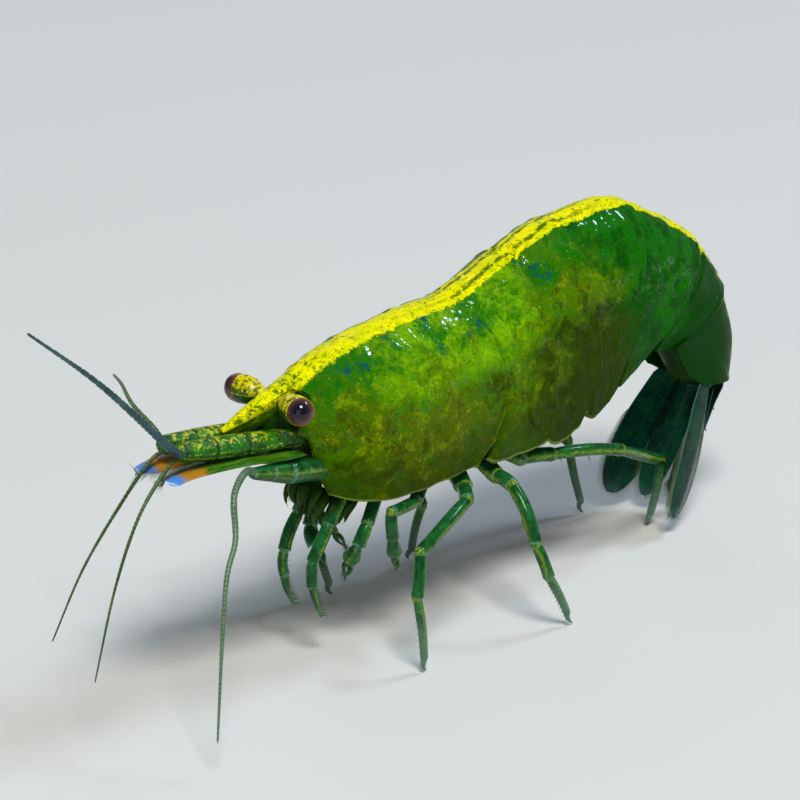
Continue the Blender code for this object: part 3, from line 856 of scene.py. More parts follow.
def makeLeg(name, joints, look, nodes):
    shape = legShape
    hip, bend, knee, wrist = (np.array(spot, float) for spot in joints[:4])
    foot = np.array([*joints[4], 0.0])
    ankle = foot + (wrist - foot) * shape["ankle"] / wrist[2]
    base = hip + (bend - hip) * shape["coxaEnd"]
    out = np.array([0, np.sign(hip[1]), 0])
    inwards, upwards = shape["tuck"]
    parts = [
        segment("coxa", hip - out * inwards + (0, 0, upwards), base, shape["coxa"], flat=0.8),
        segment("ischium", base, bend, shape["ischium"], bow=(0, 0, 0.04)),
        segment("merus", bend, knee, shape["merus"], bow=out * 0.1 + (0, 0, 0.12), flat=0.9),
        segment("carpus", knee, wrist, shape["carpus"], bow=out * 0.04),
        segment("propodus", wrist, ankle, shape["propodus"], bow=out * 0.06, up=(1, 0, 0)),
        claw("dactyl", ankle, foot + (0, 0, 0.03), shape["dactyl"], out * 0.03 + (-0.1, 0, 0)),
    ]
    for spot, radius in zip((base, bend, knee, wrist, ankle), shape["knuckles"]):
        parts.append(knuckle(spot, radius))
    parts.append(spikes(wrist, ankle, np.array([-1.0, 0, 0]), *shape["shinSpines"]))
    parts.append(spikes(bend, knee, np.array([0, 0, -1.0]), *shape["thighSpines"]))
    parts.append(spikes(ankle, foot + (0, 0, 0.12), np.array([-1.0, 0, 0]), *shape["footSpines"]))
    finish(joined(name, parts), look, "leg_shell", *nodes)


# Joints of the right limbs, and the half widths at both ends of each segment. A claw's last one is its hand.
frontLimbs = {
    "maxilliped": {
        "joints": [
            (4.65, 0.55, 4.95), (3.95, 0.65, 4.05), (3.35, 0.6, 3.05), (3.35, 0.6, 2.3), (3.72, 0.58, 1.22),
        ],
        "widths": [(0.24, 0.22), (0.2, 0.2), (0.17, 0.17), (0.16, 0.05)],
    },
    "cheliped1": {
        "joints": [
            (6.0, 0.6, 4.6), (5.1, 1.05, 3.87), (4.75, 1.05, 3.3), (4.75, 0.75, 2.85), (4.75, 0.45, 2.2),
        ],
        "widths": [(0.2, 0.2), (0.2, 0.21), (0.15, 0.3), (0.2, 0.2)],
    },
    "cheliped2": {
        "joints": [
            (7.75, 0.75, 4.65), (6.6, 1.5, 4.3), (5.3, 1.85, 4.42), (5.55, 1.65, 3.5), (5.85, 1.4, 2.9),
            (6.2, 1.1, 2.2),
        ],
        "widths": [(0.22, 0.21), (0.2, 0.2), (0.18, 0.19), (0.14, 0.24), (0.17, 0.17)],
    },
}
handShape = {
    "palm": 0.5,  # share of the hand's length
    "flat": 0.75,
    "finger": 0.42,  # half width beside the palm's
    "spread": 0.45,  # how far apart the fingers are rooted, beside the palm's half width
    "gape": 0.03,
    "hairs": 16,  # on each finger's brush
    "hairLength": 0.34,
}


def mirrored(spots, side):
    return [np.array([spot[0], spot[1] * side, *spot[2:]], float) for spot in spots]


def makeHand(start, end, wide):
    # a palm with two fingers, and the roots and tips of their brushes
    shape = handShape
    ahead = unit(end - start)
    apart = unit(np.cross(ahead, (1, 0, 0)))
    palm = start + (end - start) * shape["palm"]
    share = np.linspace(0, 1, 12)
    swell = np.sin(math.pi * np.clip(share * 0.8 + 0.12, 0, 1)) ** 0.6 * wide
    path = start + (palm - start) * share[:, None]
    parts = [tube("palm", np.column_stack([path, swell, swell * shape["flat"]]), 16, (1, 0, 0))]
    measure(parts[0], "joint", 0.4)
    tufts = []
    for way in (-1, 1):
        root = palm - ahead * 0.06 + apart * wide * shape["spread"] * way
        tip = end + apart * shape["gape"] * way
        parts.append(claw("finger", root, tip, wide * shape["finger"], apart * 0.07 * way, 10))
        spots = root + (tip - root) * chance.uniform(0.55, 1.0, shape["hairs"])[:, None]
        fan = ahead * shape["hairLength"] + apart * chance.normal(0, 0.11, shape["hairs"])[:, None]
        fan = fan + np.array([1, 0, 0]) * chance.normal(0, 0.09, shape["hairs"])[:, None]
        tufts.append((spots, spots + fan))
    return parts, tufts


def makeFrontLimb(kind, word, look, hairLook, node):
    side = sides[word]
    joints = mirrored(frontLimbs[kind]["joints"], side)
    widths = frontLimbs[kind]["widths"]
    label = kind + word.capitalize()
    last = len(widths) - 1
    parts = []
    for k, (start, end) in enumerate(zip(joints, joints[1:])):
        if k < last or kind == "maxilliped":
            parts.append(segment("segment", start, end, widths[k], bow=(-0.05, 0.03 * side, 0), flat=0.9))
        parts.append(knuckle(start, min(widths[k][0], widths[max(k - 1, 0)][1]) * 0.85))
    elbow, start, end = joints[-3:]
    if kind == "maxilliped":
        tufts = [
            tuft(start, end, 0.1, 0.97, 40, unit(end - start) * 0.14 + (0.22, 0, 0.022), 0.05),
            tuft(elbow, start, 0.1, 0.95, 14, np.array([0.24, 0, -0.048]), 0.04),
        ]
    else:
        handParts, tufts = makeHand(start, end, widths[last][0])
        parts += handParts
    finish(joined(label, parts), look, "leg_shell", node)
    roots, tips = (np.vstack(rows) for rows in zip(*tufts))
    finish(hairs(label + "Hairs", roots, tips, 0.009), hairLook, "leg_shell")


# Root, tip and half width of the small limbs folded under the mouth, right side
mouthShape = {
    "lobes": [
        ((4.15, 0.42, 4.95), (3.75, 0.3, 4.05), 0.16), ((4.5, 0.5, 4.75), (4.1, 0.28, 3.8), 0.15),
        ((4.9, 0.5, 4.6), (4.5, 0.26, 3.65), 0.14), ((3.8, 0.5, 5.3), (3.35, 0.5, 4.55), 0.13),
        ((3.6, 0.2, 5.35), (3.35, 0.08, 4.65), 0.2), ((5.3, 0.4, 4.5), (5.0, 0.2, 3.7), 0.13),
        ((4.35, 0.72, 4.85), (3.95, 0.66, 4.25), 0.12), ((4.75, 0.75, 4.65), (4.4, 0.6, 3.95), 0.11),
    ],
}


def makeMouth(look, hairLook):
    # mandibles, jaws and the two small pairs of foot jaws in front of the long ones
    parts, tufts = [], []
    for side in sides.values():
        for root, tip, wide in mouthShape["lobes"]:
            root, tip = mirrored([root, tip], side)
            parts.append(claw("lobe", root, tip, wide, (-0.14, 0.05 * side, 0), 14))
            tufts.append(tuft(root, tip, 0.35, 0.98, 14, (tip - root) * 0.18 + (0.02, -0.08 * side, 0), 0.05))
    finish(joined("mouthparts", parts), look, "belly")
    roots, tips = (np.vstack(rows) for rows in zip(*tufts))
    finish(hairs("mouthHairs", roots, tips, 0.009), hairLook, "leg_shell")


# The head
eyeShape = {
    "radius": 0.42,
    "stalkRoot": (2.42, 0.42, 8.2),
    "pupil": (-0.62, 0.7, 0.36),  # the way the dark middle of the right eye looks
    "stalkStart": 0.12,  # how far the stalk starts inside the head
    "stalkEnd": 0.12,  # how far it ends inside the eye, as a share of the radius
    "stalk": [  # share of the length, half width
        (0, 0.1), (0.08, 0.2), (0.18, 0.23), (0.26, 0.25), (0.32, 0.28), (0.38, 0.32), (0.46, 0.36),
        (0.56, 0.39), (0.68, 0.41), (0.82, 0.425), (0.92, 0.428), (0.98, 0.424), (1.0, 0.41), (1.005, 0.39),
        (0.97, 0.32),
    ],
}


def makeEye(word, eyeLook, stalkLook):
    shape = eyeShape
    low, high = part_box(f"eye_{word}")
    middle = np.array((low + high) / 2) / mm - shift
    root, pupil = mirrored([shape["stalkRoot"], shape["pupil"]], sides[word])
    out = unit(middle - root)
    turned = Vector(out).to_track_quat("Z", "Y").to_euler()
    clearSelection()
    bpy.ops.mesh.primitive_uv_sphere_add(
        segments=64, ring_count=40, radius=shape["radius"] * mm, location=toFrame(middle), rotation=turned
    )
    bpy.ops.object.transform_apply()
    eye = named(f"eye{word.capitalize()}")
    facing = (vertexSpots(eye) / mm - shift - middle) / shape["radius"]
    measure(eye, "pupil", facing @ unit(pupil))
    bpy.ops.object.shade_smooth()
    finish(eye, eyeLook, "eye", f"eye_{word}")
    share, width = np.array(shape["stalk"]).T
    start = root - out * shape["stalkStart"]
    end = middle - out * shape["radius"] * shape["stalkEnd"]
    path = start + (end - start) * share[:, None]
    stalk = tube(f"eyestalk{word.capitalize()}", np.column_stack([path, width]), 40)
    finish(stalk, stalkLook, "stalk", f"eyestalk_{word}")


# Right side: the joints of the stout base, and a thorn's root as seen from the first joint, its reach, half
# width and bend
antennuleShape = {
    "joints": [(2.95, 0.45, 7.0), (0.85, 0.46, 7.36), (-0.3, 0.43, 7.53), (-1.4, 0.38, 7.72)],
    "widths": [0.31, 0.37, 0.36, 0.3],
    "groove": 0.1,
    "flat": 0.92,
    "corners": 28,
    "thorn": ((-0.6, 0.25, 0.06), (-1.45, 0.12, 0.2), 0.085, (0, 0.05, 0)),
    "hairsFrom": 0.3,  # share of the outer feeler's length that its hairs leave bare
}
antennaShape = {
    "joints": [(3.5, 0.78, 6.0), (1.95, 1.13, 6.4), (1.3, 1.14, 6.57), (0.6, 1.14, 6.74)],
    "widths": [0.36, 0.34, 0.26, 0.17],
    "groove": 0.12,
    "flat": 1.0,
    "corners": 22,
    "thorn": ((-0.7, 0.2, 0.22), (-0.75, 0.12, 0.1), 0.08, (0, 0, 0.03)),
}
# Half widths at the left and right root and at the tip, a bead's length and swell, and the corners round it
feelerShapes = {
    "antennuleOuter": {
        "left": 0.12, "right": 0.07, "tip": 0.035, "bead": 0.135, "swell": 0.14, "corners": 14,
    },
    "antennuleInner": {
        "left": 0.06, "right": 0.06, "tip": 0.022, "bead": 0.135, "swell": 0.12, "corners": 12,
    },
    "antenna": {"left": 0.11, "right": 0.11, "tip": 0.03, "bead": 0.17, "swell": 0.05, "corners": 12},
}
feelerPaths = {
    "antennuleOuterLeft": [(-1.3, -0.4, 7.72), (-1.85, -0.5, 7.99), (-4.65, -0.8, 10.74), (-7.5, -1.2, 13.1)],
    "antennuleOuterRight": [
        (-1.3, 0.38, 7.7), (-0.95, 1.3, 7.87), (-0.6, 2.6, 8.1), (0.2, 4.0, 8.1), (1.1, 5.4, 7.75),
    ],
    "antennuleInnerLeft": [
        (-1.3, -0.34, 7.58), (-1.9, -0.38, 7.38), (-3.2, -0.65, 6.4), (-4.3, -0.85, 4.6), (-5.24, -1.0, 2.06),
    ],
    "antennuleInnerRight": [
        (-1.3, 0.34, 7.58), (-1.9, 0.36, 7.38), (-2.87, 0.42, 6.45), (-4.0, 0.85, 4.6), (-5.09, 1.0, 2.61),
    ],
    "antennaLeft": [
        (0.7, -1.14, 6.72), (0.34, -1.28, 6.95), (-0.25, -1.65, 7.05), (-0.92, -2.1, 6.92),
        (-1.2, -2.35, 6.62), (-1.33, -2.55, 6.1), (-1.58, -2.8, 5.7), (-2.2, -3.15, 5.0), (-2.93, -3.75, 3.5),
        (-3.9, -4.6, 1.0),
    ],
    "antennaRight": [
        (0.7, 1.14, 6.72), (0.3, 1.35, 6.75), (0.12, 2.1, 6.5), (1.1, 2.95, 6.2), (3.6, 3.3, 5.9),
        (7.0, 3.5, 5.5), (10.4, 3.9, 4.6), (13.4, 4.3, 3.2),
    ],
}
# share of a bead's length, share of its swell
beadProfile = [(0.0, -1.0), (0.22, 0.55), (0.5, 1.0), (0.8, 0.75)]


def makeBase(name, shape, side, look, node):
    joints = mirrored(shape["joints"], side)
    root, reach, bend = mirrored([shape["thorn"][0], shape["thorn"][1], shape["thorn"][3]], side)
    root = joints[0] + root
    parts = [peduncle(joints, shape), claw("thorn", root, root + reach, shape["thorn"][2], bend)]
    finish(joined(name, parts), look, "leg_shell", node)


def makeFeeler(kind, word, look, *nodes):
    # a whip of beads, each bead a few rings of the tube
    shape = feelerShapes[kind]
    name = kind + word.capitalize()
    dense = curveThrough(feelerPaths[name], 60)
    steps = distances(dense)
    count = max(8, int(steps[-1] / shape["bead"]))
    phase, swell = np.array(beadProfile).T
    wanted = np.append((np.arange(count)[:, None] + phase).ravel() * steps[-1] / count, steps[-1])
    path = rowsBetween(wanted, steps, dense)
    share = wanted / steps[-1]
    size = shape[word] + (shape["tip"] - shape[word]) * share**1.15
    size = size * (1 + shape["swell"] * np.append(np.tile(swell, count), 0))
    size[-1] *= 0.2
    size[0] *= 0.5
    whip = tube(name, np.column_stack([path, size]), shape["corners"], (0.1, 1, 0.2))
    finish(whip, look, "feeler", *nodes)
    return path, size, share


def makeAntennules(look, paleLook, greenLook, hairLook):
    for word, side in sides.items():
        label = word.capitalize()
        makeBase(f"antennule{label}", antennuleShape, side, look, f"antennule_{word}")
        outerLook = paleLook if word == "left" else greenLook
        path, size, share = makeFeeler("antennuleOuter", word, outerLook, f"antennule_outer_{word}")
        pick = np.where((share > antennuleShape["hairsFrom"]) & (share < 0.95))[0][::3]
        below = np.array([0.12, 0.03 * side, -0.16])
        roots = path[pick] + below * size[pick][:, None] * 3.0
        tips = roots + below * 0.7 + (path[pick] - path[pick - 1]) * 0.4
        finish(hairs(f"antennuleHairs{label}", roots, tips, 0.008), hairLook, "feeler")
        makeFeeler("antennuleInner", word, greenLook, f"antennule_inner_{word}")


def endRounding(share, start, length, power):
    # 1 as far as start, and round to 0 over the length that is left
    return math.sqrt(max(0.0, 1 - max(0.0, (share - start) / length) ** power))


def scaleOutline(share):
    # straight on its outer side, broad and rounded on its inner one
    outer = 0.42 * smooth(share, -0.3, 0.2) * (1 - 0.3 * share)
    outer = outer * math.sqrt(max(0.0, 1 - smooth(share, 0.93, 1.0)))
    return outer, 0.7 * math.sin(math.pi * (0.26 + 0.6 * share)) ** 0.8 * endRounding(share, 0.7, 0.3, 2.6)


def scaleOutlineRight(share):
    return scaleOutline(share)[::-1]


scaleShape = {
    "root": (2.6, 0.98, 6.78),
    "tip": (-2.25, 0.62, 7.15),
    "facing": (0, -0.05, 1),  # the way its broad face looks
    "left": scaleOutline,
    "right": scaleOutlineRight,
    "thickness": 0.1,
    "rib": 0.035,
    "ribWidth": 0.09,
    "camber": 0.12,
    "bow": 0.1,
    "hairs": {"from": 0.3, "count": 120, "length": 0.5, "thick": 0.011, "lay": 0.8},
}


def makeAntennae(look, bladeLook, whipLook, hairLook):
    for word, side in sides.items():
        label = word.capitalize()
        makeBase(f"antennaBase{label}", antennaShape, side, look, f"antenna_base_{word}")
        makeFeeler("antenna", word, whipLook, f"antenna_{word}_root", f"antenna_{word}_tip")
        place = mirrored([scaleShape["root"], scaleShape["tip"], scaleShape["facing"]], side)
        shape = {**scaleShape, "outline": scaleShape[word]}
        finish(blade(f"antennalScale{label}", shape, *place), bladeLook, "fan", f"antennal_scale_{word}")
        finish(fringe(f"scaleHairs{label}", shape, *place, side), hairLook, "fan")


# Tail fan and swimming paddles
def telsonOutline(share):
    half = (0.62 - 0.38 * share) * math.sqrt(min(1.0, 0.25 + 6 * share)) * endRounding(share, 0.93, 0.07, 2)
    return half, half


def ovalOutline(widest, sharp=0.5, root=0.4):
    # a rounded blade: its greatest width, where its end starts to narrow, and its root's share of that width
    def outline(share):
        swell = root + (1 - root) * math.sin(math.pi / 2 * min(1, share / 0.55))
        start = math.sqrt(min(1.0, 0.2 + 7 * share))
        half = widest / 2 * swell * start * endRounding(share, sharp, 1 - sharp, 2.4)
        return half, half

    return outline


# Each place is the root, the tip and the way the broad face looks, right side.
tailFan = {
    "telson": {
        "place": ((20.82, 0, 4.3), (19.05, 0, 0.5), (0.86, 0, -0.51)),
        "outline": telsonOutline,
        "thickness": 0.3, "rib": 0.05, "ribWidth": 0.12, "camber": 0.16, "bow": 0.06,
        "hairs": {"from": 0.9, "count": 26, "length": 0.27, "thick": 0.008, "lay": 0.9},
    },
    "uropodInner": {
        "place": ((20.25, 0.36, 4.35), (18.35, 0.62, 0.5), (0.85, 0.4, -0.45)),
        "outline": ovalOutline(1.05, 0.5, 0.7),
        "thickness": 0.13, "rib": 0.045, "ribWidth": 0.07, "camber": 0.07, "bow": 0.1,
        "hairs": {"from": 0.42, "count": 95, "length": 0.27, "thick": 0.008, "lay": 0.9},
    },
    "uropodOuter": {
        "place": ((19.7, 0.7, 4.5), (17.6, 1.42, 0.6), (0.3, 0.95, -0.1)),
        "outline": ovalOutline(1.45, 0.6, 0.6),
        "thickness": 0.13, "rib": 0.045, "ribWidth": 0.08, "camber": 0.09, "bow": 0.12,
        "hairs": {"from": 0.42, "count": 95, "length": 0.27, "thick": 0.008, "lay": 0.9},
    },
}
tailFanShape = {
    "stemRoot": (20.1, 0.62, 4.75),  # where both uropods of the right side are rooted
    "stem": (0.2, 0.18),
    "thorns": (6, 0.17, 0.05, 0.14),  # count, length, thickness and distance from the telson's middle line
}


def makeFanBlade(kind, word, side, look, hairLook):
    shape = tailFan[kind]
    label = kind + word.capitalize()
    root, tip, facing = mirrored(shape["place"], side)
    parts = [blade(label, shape, root, tip, facing)]
    if kind == "telson":
        node = "telson"
        for way in (1, -1):
            looks = np.array([0.86, 1.1 * way, -0.5])
            thorns = spikes(root + (0, 0.2 * way, 0), tip, looks, *tailFanShape["thorns"])
            measure(thorns, "around", 0)
            parts.append(thorns)
    else:
        node = f"uropod_{kind[6:].lower()}_{word}"
        base = mirrored([tailFanShape["stemRoot"]], side)[0]
        parts.append(segment("stem", base, root + (tip - root) * 0.08, tailFanShape["stem"], flat=0.7))
        measure(parts[-1], "around", 0.25)
    finish(joined(label, parts), look, "fan", node)
    rows = [fringe("hair", shape, root, tip, facing, way) for way in (1, -1)]
    finish(joined(f"{label}Hairs", rows), hairLook, "fan")


def makeTailFan(look, hairLook):
    makeFanBlade("telson", "", 1, look, hairLook)
    for kind in ("uropodInner", "uropodOuter"):
        for word, side in sides.items():
            makeFanBlade(kind, word, side, look, hairLook)


paddleHairs = {"from": 0.3, "count": 34, "length": 0.3, "thick": 0.011, "lay": 0.9}
paddleShape = {
    "places": [0.6, 1.6, 2.6, 3.45, 4.45],  # where each pair hangs, counted in tail plates
    "sweep": [0.55, 0.4, 0.25, 0.1, -0.05],  # how far back each pair points
    "length": 1.7,
    "down": 0.8,
    "drop": 0.85,  # how far below the belly they are rooted
    "spread": 0.36,  # distance from the middle beside the body's half width
    "stem": (0.17, 0.2),
    "stemHeight": 0.75,
    "leaves": [  # side and back: how far the tip leans that way
        {
            "outline": ovalOutline(0.62), "side": 0.16, "back": 0.0, "hairs": paddleHairs,
            "thickness": 0.1, "rib": 0.03, "ribWidth": 0.06, "camber": 0.05, "bow": 0.05,
        },
        {
            "outline": ovalOutline(0.42), "side": -0.2, "back": 0.1, "hairs": paddleHairs,
            "thickness": 0.09, "rib": 0.02, "ribWidth": 0.05, "camber": 0.03, "bow": 0.05,
        },
    ],
}


def makePaddles(look, hairLook):
    shape = paddleShape
    stations = plateShape["tailStations"]
    for plate, place in enumerate(shape["places"]):
        x, z, lean, depth, wide = rowAt(stations, place)
        turn = math.radians(lean)
        down = np.array([math.sin(turn), 0, -math.cos(turn)])
        back = np.array([math.cos(turn), 0, math.sin(turn)])
        sweep = down * shape["down"] + back * shape["sweep"][plate]
        size = (depth / stations[2][3]) ** 1.5
        drop = depth * plateShape["bellyShare"][plate] + shape["drop"]
        for word, side in sides.items():
            label = f"paddle{word.capitalize()}{plate + 1}"
            root = np.array([x, side * wide * shape["spread"], z]) + down * drop
            tip = root + sweep * shape["length"] * size
            widths = np.array(shape["stem"]) * size**0.5
            stemTop = root - down * shape["stemHeight"]
            parts = [segment("stem", stemTop, root + sweep * 0.25 * size, widths, flat=0.7)]
            rows = []
            for leaf in shape["leaves"]:
                start = root + (0, side * leaf["side"] * 0.5, 0)
                end = tip + (0, side * leaf["side"], 0) + back * leaf["back"]
                parts.append(blade("leaf", leaf, start, end, back, 24))
                rows += [fringe("hair", leaf, start, end, back, way, size) for way in (1, -1)]
            finish(joined(label, parts), look, "fan", f"pleopod_{plate + 1}_{word}")
            finish(joined(f"{label}Hairs", rows), hairLook, "fan")


# Finishes. Tones are linear colours; the numbers of a noise are its size, detail, roughness and distortion.
shellTones = {
    "stripe": (1.0, 0.93, 0.0),
    "stripeGreen": (0.72, 0.78, 0.0),
    "stripeSpeck": (0.02, 0.1, 0.001),
    "stripeHalf": 0.5,  # half width of the stripe down the back
    "olive": (0.095, 0.15, 0.0006),
    "lime": (0.08, 0.26, 0.0006),
    "bright": (0.27, 0.6, 0.0006),
    "gold": (0.3, 0.38, 0.0008),
    "green": (0.035, 0.17, 0.0008),
    "pure": (0.0015, 0.16, 0.001),
    "brown": (0.05, 0.055, 0.0008),
    # low: the darker lower sides, partly the shell's own colour and partly painted shade
    "low": (0.02, 0.038, 0.0004),
    "teal": (0.0, 0.07, 0.1),
    "vivid": (0.002, 0.15, 0.0006),
    "dark": (0.001, 0.055, 0.0008),
    "darkest": (0.001, 0.05, 0.0008),
    "paleLine": (0.4, 0.5, 0.08),
}


def shellFinish():
    tones = shellTones
    look = Look(
        "shell", Specular_IOR_Level=0.06, Specular_Tint=(0.4, 0.8, 0.06), Coat_Roughness=0.07,
        Coat_Tint=(0.95, 0.98, 1), Subsurface_Weight=0.05, Subsurface_Scale=0.0003,
    )
    here = look.spots()
    body = look.own("body")  # counts tail plates from 0, and the carapace from -1
    along = look.own("along")
    way = look.size(look.own("around") * 2 - 1)  # 0 on the back, 1 at the lower edge
    fromMiddle = look.size(look.axis(here, "Y"))
    broad = look.noise(here, 0.42, 4, 0.6, 0.4)
    middle = look.noise(here, 1.2, 6, 0.7, 0.5)
    patch = look.noise(here, 2.1, 5, 0.7, 0.3)
    fine = look.noise(here, 7.0, 5, 0.7)
    rough = look.noise(here, 4.0, 6, 0.8)
    grain = look.cells(here, 8.5)
    # where each tone of the sides lies
    blotch = look.fade(look.noise(here, 0.9, 6, 0.75, 0.8), 0.52, 0.62)
    # low: darker towards the lower edge, partly own colour and partly painted shade of light falling from
    # above
    low = way + (broad - 0.5) * 0.8 + (middle - 0.5) * 0.6 + look.fade(body, -0.1, 1.0) * 0.16
    low = look.fade(low, 0.62, 0.88)
    upper = look.fade(way + (middle - 0.5) * 0.7 + (patch - 0.5) * 0.3, 0.44, 0.34)
    saddle = look.fade(look.size(body - 0.3 + (patch - 0.5)), 1.1, 0.4) * look.fade(way, 0.6, 0.45)
    cloud = look.noise(here, 0.9, 8, 0.85, 0.3) + (fine - 0.5) * 0.4
    gems = look.fade(look.noise(here, 0.75, 6, 0.8, 0.4) + (fine - 0.5) * 0.15, 0.46, 0.56) * upper
    rear = look.fade(body + (middle - 0.5) * 1.6 + (0.55 - way) * 1.6, 2.3, 3.1)
    darkDots = look.fade(grain, 0.34, 0.16) * look.fade(fine, 0.4, 0.56)
    glow = look.fade(look.cells(here, 5.5), 0.26, 0.12) * look.fade(patch, 0.46, 0.56) * (1 - rear * 0.8)
    flecks = look.fade(look.cells(here, 3.1), 0.1, 0.06) * look.fade(look.noise(here, 2.3), 0.52, 0.6)
    flank = look.laid(
        tones["olive"],
        (look.fade(broad + (middle - 0.5) * 0.6, 0.44, 0.58), tones["lime"]),
        (look.fade(body + (middle - 0.5) * 0.6, -0.25, 0.4) * 0.35, tones["lime"]),
        (look.fade(body + (broad - 0.5), -0.45, -0.85) * 0.5, tones["green"]),
        (look.fade(patch + (fine - 0.5) * 0.6, 0.5, 0.66) * 0.6, tones["gold"]),
        (blotch * 0.75, tones["green"]),
        (look.fade(middle + (fine - 0.5) * 0.4, 0.5, 0.62) * 0.75, tones["brown"]),
        # painted shade of the lower sides, laid together with their darker own colour
        (low * (0.6 + look.fade(body, 0.0, 1.5) * 0.3), tones["low"]),
        (upper * 0.75, tones["green"]),
        (saddle * look.fade(cloud, 0.36, 0.62) * 0.75, tones["bright"]),
        (gems * 0.85, tones["pure"]),
        (look.fade(look.noise(here, 1.5, 5, 0.7), 0.57, 0.64) * gems * 0.8, tones["teal"]),
        (rear * 0.92, tones["vivid"]),
        (look.fade(patch + (broad - 0.5), 0.44, 0.56) * rear * 0.7, tones["dark"]),
        (look.fade(body + (broad - 0.5) * 0.8 + (patch - 0.5) * 0.8, 3.8, 4.8) * 0.9, tones["dark"]),
        (look.fade(body + (middle - 0.5) * 0.5, 4.9, 5.5) * 0.8, tones["darkest"]),
        (darkDots * 0.6, tones["dark"]),
        # gold and pale specks thinned on the lower sides, along with their partly painted shade
        (glow * (0.55 - low * 0.4), tones["gold"]),
        (flecks * (0.8 - low * 0.5), tones["paleLine"]),
    )
    # the stripe down the back, its dark seam and specks
    half = tones["stripeHalf"]
    edge = look.fade(fromMiddle - look.fade(body, 3.3, 4.7) * 0.3, half + 0.18, half - 0.16)
    inStripe = look.fade(edge + (rough - 0.5) * 2.4, 0.42, 0.54)
    inStripe = inStripe * look.fade(way + (rough - 0.5) * 0.5, 0.46, 0.4)
    seam = look.fade(look.size(fromMiddle - 0.25 + (patch - 0.5) * 0.3), 0.12, 0.04)
    seam = seam * look.fade(body, -0.3, 0.2) * look.fade(body, 2.9, 2.3) * look.fade(rough, 0.4, 0.5)
    specks = look.fade(look.noise(here, 6.5, 5, 0.8), 0.53, 0.58) * look.fade(rough, 0.42, 0.56)
    onHead = look.fade(body, -0.55, -0.8) * look.fade(rough, 0.5, 0.56)
    specks = look.most(look.most(specks, seam), onHead)
    dashes = look.fade(body, 4.3, 4.8) * look.fade(look.noise(here, 2.2, 6, 0.75, 0.4), 0.43, 0.5)
    stripe = look.laid(
        tones["stripe"],
        (look.fade(patch, 0.45, 0.62), tones["stripeGreen"]),
        (look.most(specks * 0.9, dashes), tones["stripeSpeck"]),
    )
    rim = look.fade(along, 0.982, 0.99) * look.fade(way, 0.5, 0.85) * look.fade(fine, 0.4, 0.55)
    rim = look.most(rim * 0.4, look.fade(way, 0.98, 0.989) * 0.8) * look.fade(body, 2.6, 1.8)
    colour = look.laid(flank, (inStripe, stripe), (rim * 0.6, tones["paleLine"]))
    wet = look.fade(look.noise(here, 6.2, 4, 0.75, 0.3), 0.5, 0.6) * look.fade(way, 0.75, 0.45)
    wet = wet * look.fade(body, 4.6, 3.8) * (1 - inStripe * 0.6)
    look.paint(Base_Color=colour, Roughness=0.22 + fine * 0.3, Coat_Weight=wet)
    look.relief(patch * 0.6 + rough * 0.8 + fine * 0.5 + grain * 0.15, 0.7, 0.05)
    return look


fleshTones = {"pale": (0.014, 0.05, 0.002), "dark": (0.003, 0.035, 0.003), "fibre": (0.06, 0.1, 0.005)}


def fleshFinish():
    tones = fleshTones
    look = Look(
        "flesh", Specular_IOR_Level=0.25, Specular_Tint=(0.4, 0.8, 0.3), Subsurface_Weight=0.1,
        Subsurface_Scale=0.0003,
    )
    here = look.spots()
    fibres = look.noise(here, 9.0, 3, 0.6, 1.5)
    colour = look.laid(
        tones["pale"],
        (look.fade(look.noise(here, 1.4, 4, 0.6, 0.6), 0.4, 0.62), tones["dark"]),
        (look.fade(fibres, 0.5, 0.7) * 0.35, tones["fibre"]),
    )
    look.paint(Base_Color=colour, Roughness=0.25 + fibres * 0.3)
    look.relief(fibres, 0.5, 0.03)
    return look


legTones = {
    "glass": (0.016, 0.18, 0.034),
    "dark": (0.006, 0.075, 0.019),
    # lime: the dots' own colour, and also the painted edge light of the lines
    "lime": (0.28, 0.42, 0.008),
    "pale": (0.24, 0.48, 0.44),
    "tip": (0.17, 0.29, 0.21),
}


def legFinish():
    tones = legTones
    look = Look(
        "limb", Coat_Weight=0.25, Coat_Roughness=0.05, Specular_IOR_Level=0.15, Specular_Tint=(0.5, 0.9, 0.5),
        Transmission_Weight=0.25, IOR=1.36, Subsurface_Weight=0.1, Subsurface_Scale=0.0002,
    )
    here = look.spots()
    mottle = look.noise(here, 2.6, 4, 0.65, 0.4)
    fine = look.noise(here, 11.0, 3, 0.6)
    # painted light: lime lines down both sides of each segment stand in for light refracted at its glassy
    # edges
    paintedEdgeLight = look.size(look.wave(look.own("around") * math.tau + math.pi / 2 + (mottle - 0.5) * 1.6)) ** 26
    dots = look.fade(look.cells(here, 8.0), 0.22, 0.12) * look.fade(look.noise(here, 3.0), 0.48, 0.58)
    ring = look.fade(look.own("joint") + (mottle - 0.5) * 0.14, 0.07, 0.02) * look.fade(fine, 0.35, 0.6)
    colour = look.laid(
        tones["glass"],
        (look.fade(mottle + (fine - 0.5) * 0.2, 0.38, 0.64), tones["dark"]),
        (paintedEdgeLight * look.fade(fine + mottle * 0.6, 0.62, 0.84) * 0.85, tones["lime"]),
        (dots * 0.7, tones["lime"]),
        (look.fade(look.axis(here, "Z") + (mottle - 0.5), 2.4, 0.4) * 0.75, tones["tip"]),
        (ring * 0.6, tones["pale"]),
    )
    look.paint(Base_Color=colour, Roughness=0.12 + fine * 0.25)
    look.relief(fine + mottle, 0.5, 0.015)
    return look


peduncleTones = {
    "green": (0.014, 0.2, 0.004),
    "dark": (0.002, 0.07, 0.003),
    "yellow": (0.6, 0.62, 0.004),
    "groove": (0.002, 0.02, 0.004),
    "lowLine": (0.5, 0.55, 0.05),
}


